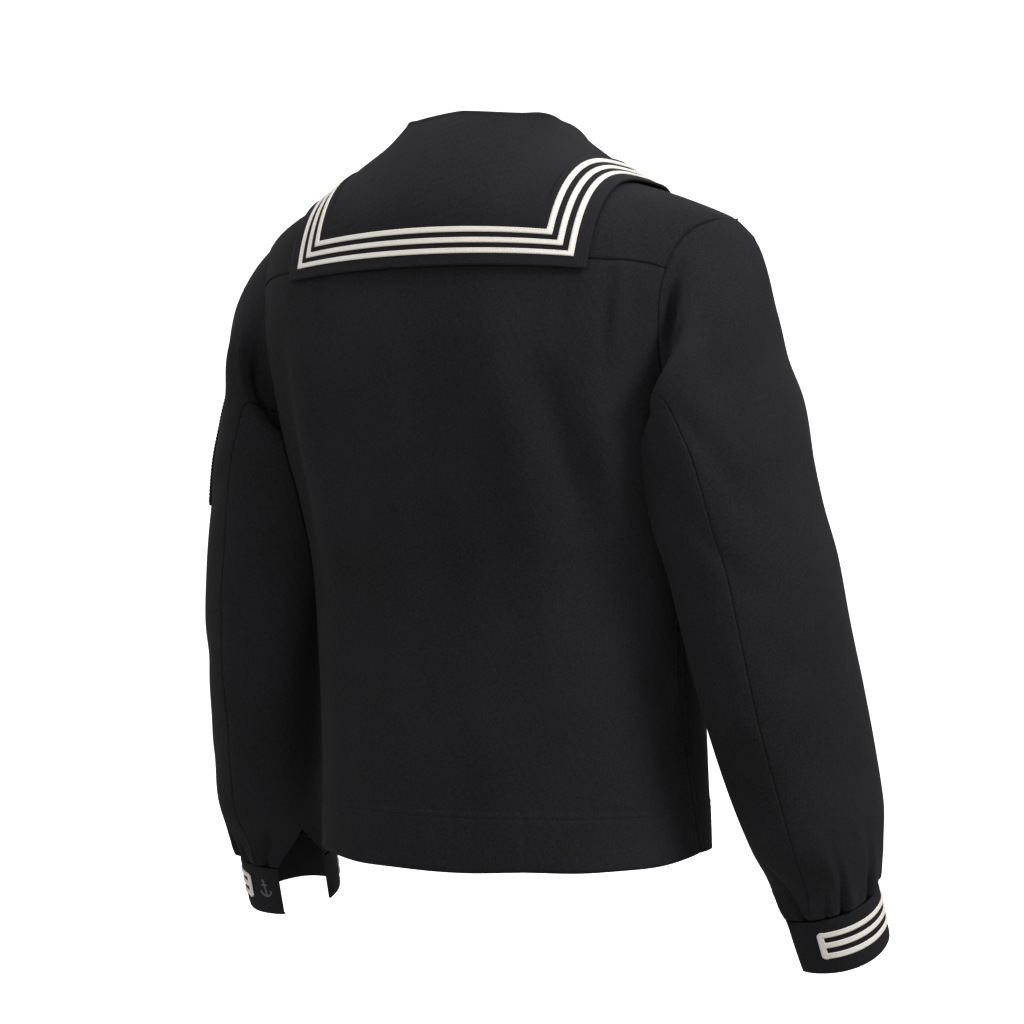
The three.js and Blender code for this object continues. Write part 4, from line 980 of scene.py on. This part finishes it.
def collar_sections(along, fall_steps=24, rim_steps=24):
    """Sections from the neck seam up, over the roll and out to the outline"""
    x, turn = neck_place(along)
    seam = arch_point(x, turn)
    normal = arch_normal(x, turn)
    before = arch_point(*neck_place(np.maximum(along - 0.01, 0)))
    after = arch_point(*neck_place(np.minimum(along + 0.01, 1)))
    tangent = unit(after - before)
    tangent[along == 0] = (1, 0, 0)
    inward = unit(np.cross(normal, tangent))
    inward *= np.sign((inward * (NECK_MIDDLE - seam)).sum(-1))[..., None]
    base = seam + inward * (0.5 + COLLAR_CLOTH / 2)
    rise, lean, roll = (smooth(COLLAR_SHAPE, k, along)[..., None] for k in ("rise", "lean", "roll"))
    fold = seam + normal * rise + inward * lean
    up = unit(normal * rise + inward * lean)
    aside = unit(np.cross(up, tangent))
    aside *= -np.sign((aside * inward).sum(-1))[..., None]
    section = [base - normal * WOOL]
    for share in (0.2, 0.4, 0.6, 0.8):
        section.append(mix(base, fold, share) - aside * roll * ease(share))
    roll_steps = 10
    for k in range(roll_steps + 1):
        angle = math.pi * k / roll_steps
        section.append(fold - aside * roll * math.cos(angle) + up * roll * math.sin(angle))
    start = section[-1]
    landing = collar_landing(along, COLLAR_RIM_BAND)
    span = np.linalg.norm(landing - start, axis=-1, keepdims=True)
    flow = unit(collar_landing(along, COLLAR_RIM_BAND - 4) - landing)
    first = start - up * 0.22 * span + aside * 0.14 * span
    second = landing - flow * 0.3 * span
    for k in range(1, fall_steps + 1):
        t = k / fall_steps
        section.append(start * (1 - t) ** 3 + first * 3 * t * (1 - t) ** 2
                       + second * 3 * t**2 * (1 - t) + landing * t**3)
    for k in range(1, rim_steps + 1):
        section.append(collar_rim_point(along, COLLAR_RIM_BAND * (1 - k / rim_steps)))
    return np.stack(section, axis=1)


def both_halves(half):
    """A grid whose rows run along the collar, with its mirror image before it"""
    return np.concatenate((half[:0:-1] * (-1, 1, 1), half))


# Places along half of the collar: back, side and front
STATIONS = np.concatenate((
    np.linspace(0, COLLAR_CORNER, 62, endpoint=False),
    np.linspace(COLLAR_CORNER, COLLAR_SHOULDER, 40, endpoint=False),
    np.linspace(COLLAR_SHOULDER, 1, 48), ))


def make_collar():
    grid = both_halves(collar_sections(STATIONS))
    grid = moved_out(grid, BODY_MIDDLE, COLLAR_CLOTH / 2)
    made = cloth_on("sailor_collar", grid, COLLAR_CLOTH, BODY_MIDDLE, "collar_wool")


def make_collar_tapes():
    share, profile = tape_profile()
    along = np.minimum(STATIONS, COLLAR_TAPE_END)[:-1]
    for k, name in enumerate(("outer", "middle", "inner")):
        rim = COLLAR_TAPE_BORDER + TAPE_WIDTH / 2 + k * TAPE_PITCH
        half = np.stack([collar_rim_point(along, rim - s * TAPE_WIDTH / 2) for s in share], axis=1)
        grid = both_halves(half)
        grid = moved_out(grid, BODY_MIDDLE, COLLAR_CLOTH / 2 + profile[None, :] + 0 * grid[..., 0])
        sewn = moved_out(grid, BODY_MIDDLE, THREAD_PROUD)
        PALE_ROWS.extend((sewn[:, 1], sewn[:, -2]))
        cloth_on(f"collar_tape_{name}", grid, TAPE_THICK + 0.3, BODY_MIDDLE, "tape")


# Patch on the left sleeve: its sides as turns, its top and foot as rows, how far it stands off,
# and millimetres for a degree and a row there
PATCH_FORE, PATCH_REAR, PATCH_TOP, PATCH_FOOT, PATCH_LIFT = -66, 16, 4.15, 6.75, 1.3
PATCH_TURN_LENGTH, PATCH_ROW_LENGTH = 1.2, 38


def make_patch():
    turn, row = np.meshgrid(np.linspace(PATCH_REAR, PATCH_FORE, 50),
                            np.linspace(PATCH_TOP, PATCH_FOOT, 50))
    grid = sleeve_point(turn, row, ARMS["left"])
    inside = sleeve_middle(5)
    edge = np.minimum(np.minimum(PATCH_REAR - turn, turn - PATCH_FORE) * PATCH_TURN_LENGTH,
                      np.minimum(row - PATCH_TOP, PATCH_FOOT - row) * PATCH_ROW_LENGTH)
    relief = sleeve_relief(turn, row, ARMS["left"]) + PATCH_LIFT + PATCH_THICK
    relief += seam_dip(edge, 1.2, 0.6)
    grid = moved_out(grid, inside, relief)
    sewn = moved_out(grid, inside, THREAD_PROUD)[1:-1, 1:-1]
    DARK_ROWS.append(np.concatenate((sewn[0], sewn[1:, -1], sewn[-1, -2::-1], sewn[-2:0:-1, 0])))
    made = cloth_on("sleeve_patch_left", grid, PATCH_THICK + 1.0, inside, name="sleeve_patch_cloth")


def make_body():
    grid, z, across = back_grid()
    made = cloth_on("back_panel", grid, WOOL, BODY_MIDDLE, name="back_cloth")
    sew_panel(grid, z, across, YOKE_SEAM_Z)
    grid, z, across, keep = front_grid()
    made = cloth_on("front_panel", grid, WOOL, BODY_MIDDLE, keep=keep, name="front_cloth")
    sew_panel(grid, z, across, FRONT_SEAM_Z)
    grid, edge = yoke_grid()
    cloth_on("yoke", grid, WOOL, BODY_MIDDLE)
    surface = moved_out(grid, BODY_MIDDLE, THREAD_PROUD)
    half = grid.shape[1] // 2
    for at in ARMHOLE_ROWS:
        row = np.argmin(np.abs(edge - at), axis=0)
        for columns in (np.arange(half + YOKE_BACK_STEPS, 2 * half), np.arange(half - YOKE_BACK_STEPS)):
            DARK_ROWS.append(surface[row[columns], columns])


def sew_panel(grid, z, across, top):
    """Two rows over the hem, and two beside each armhole and each side seam"""
    surface = moved_out(grid, BODY_MIDDLE, THREAD_PROUD)
    heights = z[:, 0]
    for up in (HEM_HEIGHT, HEM_HEIGHT - HEM_ROW_SPACE):
        DARK_ROWS.append(surface[np.argmin(np.abs(heights - HEM_Z - up))])
    edge = (1 - np.abs(across[-1])) * UNDERARM_WIDTH
    beside = (heights > UNDERARM_Z + 6) & (heights < top)
    below = (heights < UNDERARM_Z - 6) & (heights > HEM_Z + 2)
    for at_rows, rows in ((ARMHOLE_ROWS, beside), (SIDE_ROWS, below)):
        for at in at_rows:
            column = np.argmin(np.abs(edge - at))
            for place in (column, len(edge) - 1 - column):
                DARK_ROWS.append(surface[rows, place])


def stitch_tree():
    """Stitches along every row: oval threads laid end to end, a little uneven"""
    tree = bpy.data.node_groups.new("stitches", "GeometryNodeTree")
    sockets = tree.interface
    sockets.new_socket("Rows", in_out="INPUT", socket_type="NodeSocketGeometry")
    for name in ("Pitch", "Length", "Width"):
        sockets.new_socket(name, in_out="INPUT", socket_type="NodeSocketFloat")
    sockets.new_socket("Thread", in_out="INPUT", socket_type="NodeSocketMaterial")
    sockets.new_socket("Stitches", in_out="OUTPUT", socket_type="NodeSocketGeometry")
    start = add(tree, "NodeGroupInput")
    curve = add(tree, "GeometryNodeMeshToCurve", None, {"Mesh": start.outputs["Rows"]})
    spaced = add(tree, "GeometryNodeResampleCurve", {"mode": "LENGTH"},
                 {"Curve": curve, "Length": start.outputs["Pitch"]})
    along = add(tree, "GeometryNodeInputTangent")
    turned = add(tree, "FunctionNodeAlignRotationToVector", {"axis": "X"}, {"Vector": along})
    size = add(tree, "ShaderNodeCombineXYZ", None,
               {"X": start.outputs["Length"], "Y": start.outputs["Width"], "Z": start.outputs["Width"]})
    uneven = add(tree, "FunctionNodeRandomValue",
                 {"data_type": "FLOAT_VECTOR", 0: (0.88, 0.9, 0.9), 1: (1.08, 1.1, 1.1), "Seed": 7})
    scale = add(tree, "ShaderNodeVectorMath", {"operation": "MULTIPLY"}, {0: size, 1: uneven})
    thread = add(tree, "GeometryNodeMeshIcoSphere", {"Radius": 0.5, "Subdivisions": 1})
    laid = add(tree, "GeometryNodeInstanceOnPoints", None, {"Points": spaced, "Instance": thread,
                "Rotation": turned, "Scale": scale})
    real = add(tree, "GeometryNodeRealizeInstances", None, {"Geometry": laid})
    done = add(tree, "GeometryNodeSetMaterial", None,
               {"Geometry": real, "Material": start.outputs["Thread"]})
    add(tree, "NodeGroupOutput", None, {"Stitches": done})
    return tree


def sew(name, rows, tree, slot_name, sizes, thread):
    """One piece of all the stitches of one thread"""
    inputs = {key: size * MM for key, size in sizes.items()} | {"Thread": thread}
    points, edges = [], []
    for row in rows:
        edges += [(len(points) + k, len(points) + k + 1) for k in range(len(row) - 1)]
        points += (row * MM).tolist()
    mesh = bpy.data.meshes.new(name)
    mesh.from_pydata(points, edges, [])
    made = placed(name, mesh)
    modifier = made.modifiers.new("stitches", "NODES")
    modifier.node_group = tree
    for item in tree.interface.items_tree:
        if item.name in inputs:
            modifier[item.identifier] = inputs[item.name]
    sewn = bpy.data.meshes.new_from_object(
        made.evaluated_get(bpy.context.evaluated_depsgraph_get()))
    made.modifiers.clear()
    made.data = sewn
    sewn.name = name
    sewn.shade_smooth()
    add_to_object(made, slot_name)


# Camera and light. Of each light: metres to the right, towards the camera and up from the
# object's middle as the camera sees it, width and power
LIGHTS = (
    ("key", 2.35, 1.7, 1.9, 1.1, 76),
    ("top", 0.1, 0.1, 3.0, 1.6, 36),
    ("fill", -0.9, 2.6, 0.6, 1.6, 14),
    ("rim", -2.4, -0.8, 0.9, 1.0, 6),
)
VIEW_TURN = math.radians(27)
SEEN_RIGHT = Vector((-math.cos(VIEW_TURN), -math.sin(VIEW_TURN), 0))
SEEN_FORE = Vector((-math.sin(VIEW_TURN), math.cos(VIEW_TURN), 0))
MIDDLE_Z, FLOOR_Z, FLOOR_SIZE = -0.3, -0.86, 9.0
SKY_STRENGTH, STAGE_GLOW = 0.42, 1.1
CAMERA_DISTANCE, CAMERA_HEIGHT, CAMERA_ASIDE, CAMERA_LENS = 2.4, -0.304, 0.0225, 94.9


def aimed(made, target):
    made.rotation_euler = (Vector(target) - made.location).to_track_quat("-Z", "Y").to_euler()


def make_camera():
    data = bpy.data.cameras.new("camera")
    data.lens = CAMERA_LENS
    data.sensor_width = 36
    camera = placed("camera", data)
    target = SEEN_RIGHT * CAMERA_ASIDE + Vector((0, 0, CAMERA_HEIGHT))
    camera.location = target + SEEN_FORE * CAMERA_DISTANCE
    aimed(camera, target)
    bpy.context.scene.camera = camera


def area_light(name, aside, fore, up, size, power):
    """A round soft light, aimed at the object's middle"""
    data = bpy.data.lights.new(name, "AREA")
    data.shape = "DISK"
    data.size = size
    data.energy = power
    light = placed(name, data)
    light.location = SEEN_RIGHT * aside + SEEN_FORE * fore + Vector((0, 0, up + MIDDLE_Z))
    aimed(light, (0, 0, MIDDLE_Z))
    light.visible_camera = False


def white_stage(name, made):
    """A glowing white surface that only the camera sees, so that it lights nothing"""
    paint = bpy.data.materials.new(name)
    paint.use_nodes = True
    sockets = paint.node_tree.nodes["Principled BSDF"].inputs
    for socket, value in (("Base Color", (0.9, 0.9, 0.9, 1)), ("Emission Color", (1, 1, 1, 1)),
                          ("Emission Strength", STAGE_GLOW), ("Roughness", 1.0),
                          ("Specular IOR Level", 0.0)):
        sockets[socket].default_value = value
    made.data.materials.append(paint)
    for ray in ("visible_diffuse", "visible_glossy", "visible_transmission", "visible_shadow"):
        setattr(made, ray, False)


def make_studio():
    """A white room: a dim even sky, a large soft light high on the right, and three weaker ones
    above, in front on the left and behind"""
    world = bpy.data.worlds.new("studio")
    bpy.context.scene.world = world
    world.use_nodes = True
    sky = world.node_tree.nodes["Background"].inputs
    sky["Color"].default_value = (1, 1, 1, 1)
    sky["Strength"].default_value = SKY_STRENGTH
    for light in LIGHTS:
        area_light(*light)
    floor_mesh = bpy.data.meshes.new("floor")
    corners = [(x * FLOOR_SIZE, y * FLOOR_SIZE, FLOOR_Z) for x, y in ((-1, -1), (1, -1), (1, 1), (-1, 1))]
    floor_mesh.from_pydata(corners, [], [(0, 1, 2, 3)])
    white_stage("floor_paint", placed("floor", floor_mesh))
    dome_mesh = bpy.data.meshes.new("backdrop")
    form = bmesh.new()
    bmesh.ops.create_uvsphere(form, u_segments=48, v_segments=24, radius=FLOOR_SIZE)
    form.to_mesh(dome_mesh)
    form.free()
    white_stage("backdrop_paint", placed("backdrop", dome_mesh))
    bpy.context.scene.view_settings.view_transform = "Standard"


make_camera()
make_studio()
make_body()
for arm_name, arm_sizes in ARMS.items():
    make_sleeve(arm_name, arm_sizes)
    make_cuff(arm_name, arm_sizes)
    make_cuff_tapes(arm_name, arm_sizes)
make_collar()
make_collar_tapes()
make_patch()
STITCHES = stitch_tree()
sew("stitches_dark", DARK_ROWS, STITCHES, "body_wool", DARK_STITCH, THREAD_DARK)
sew("stitches_pale", PALE_ROWS, STITCHES, "tape", PALE_STITCH, THREAD_PALE)
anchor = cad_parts["cuff_anchor_left"]
anchor.data.materials.clear()
anchor.data.materials.append(EMBROIDERY)
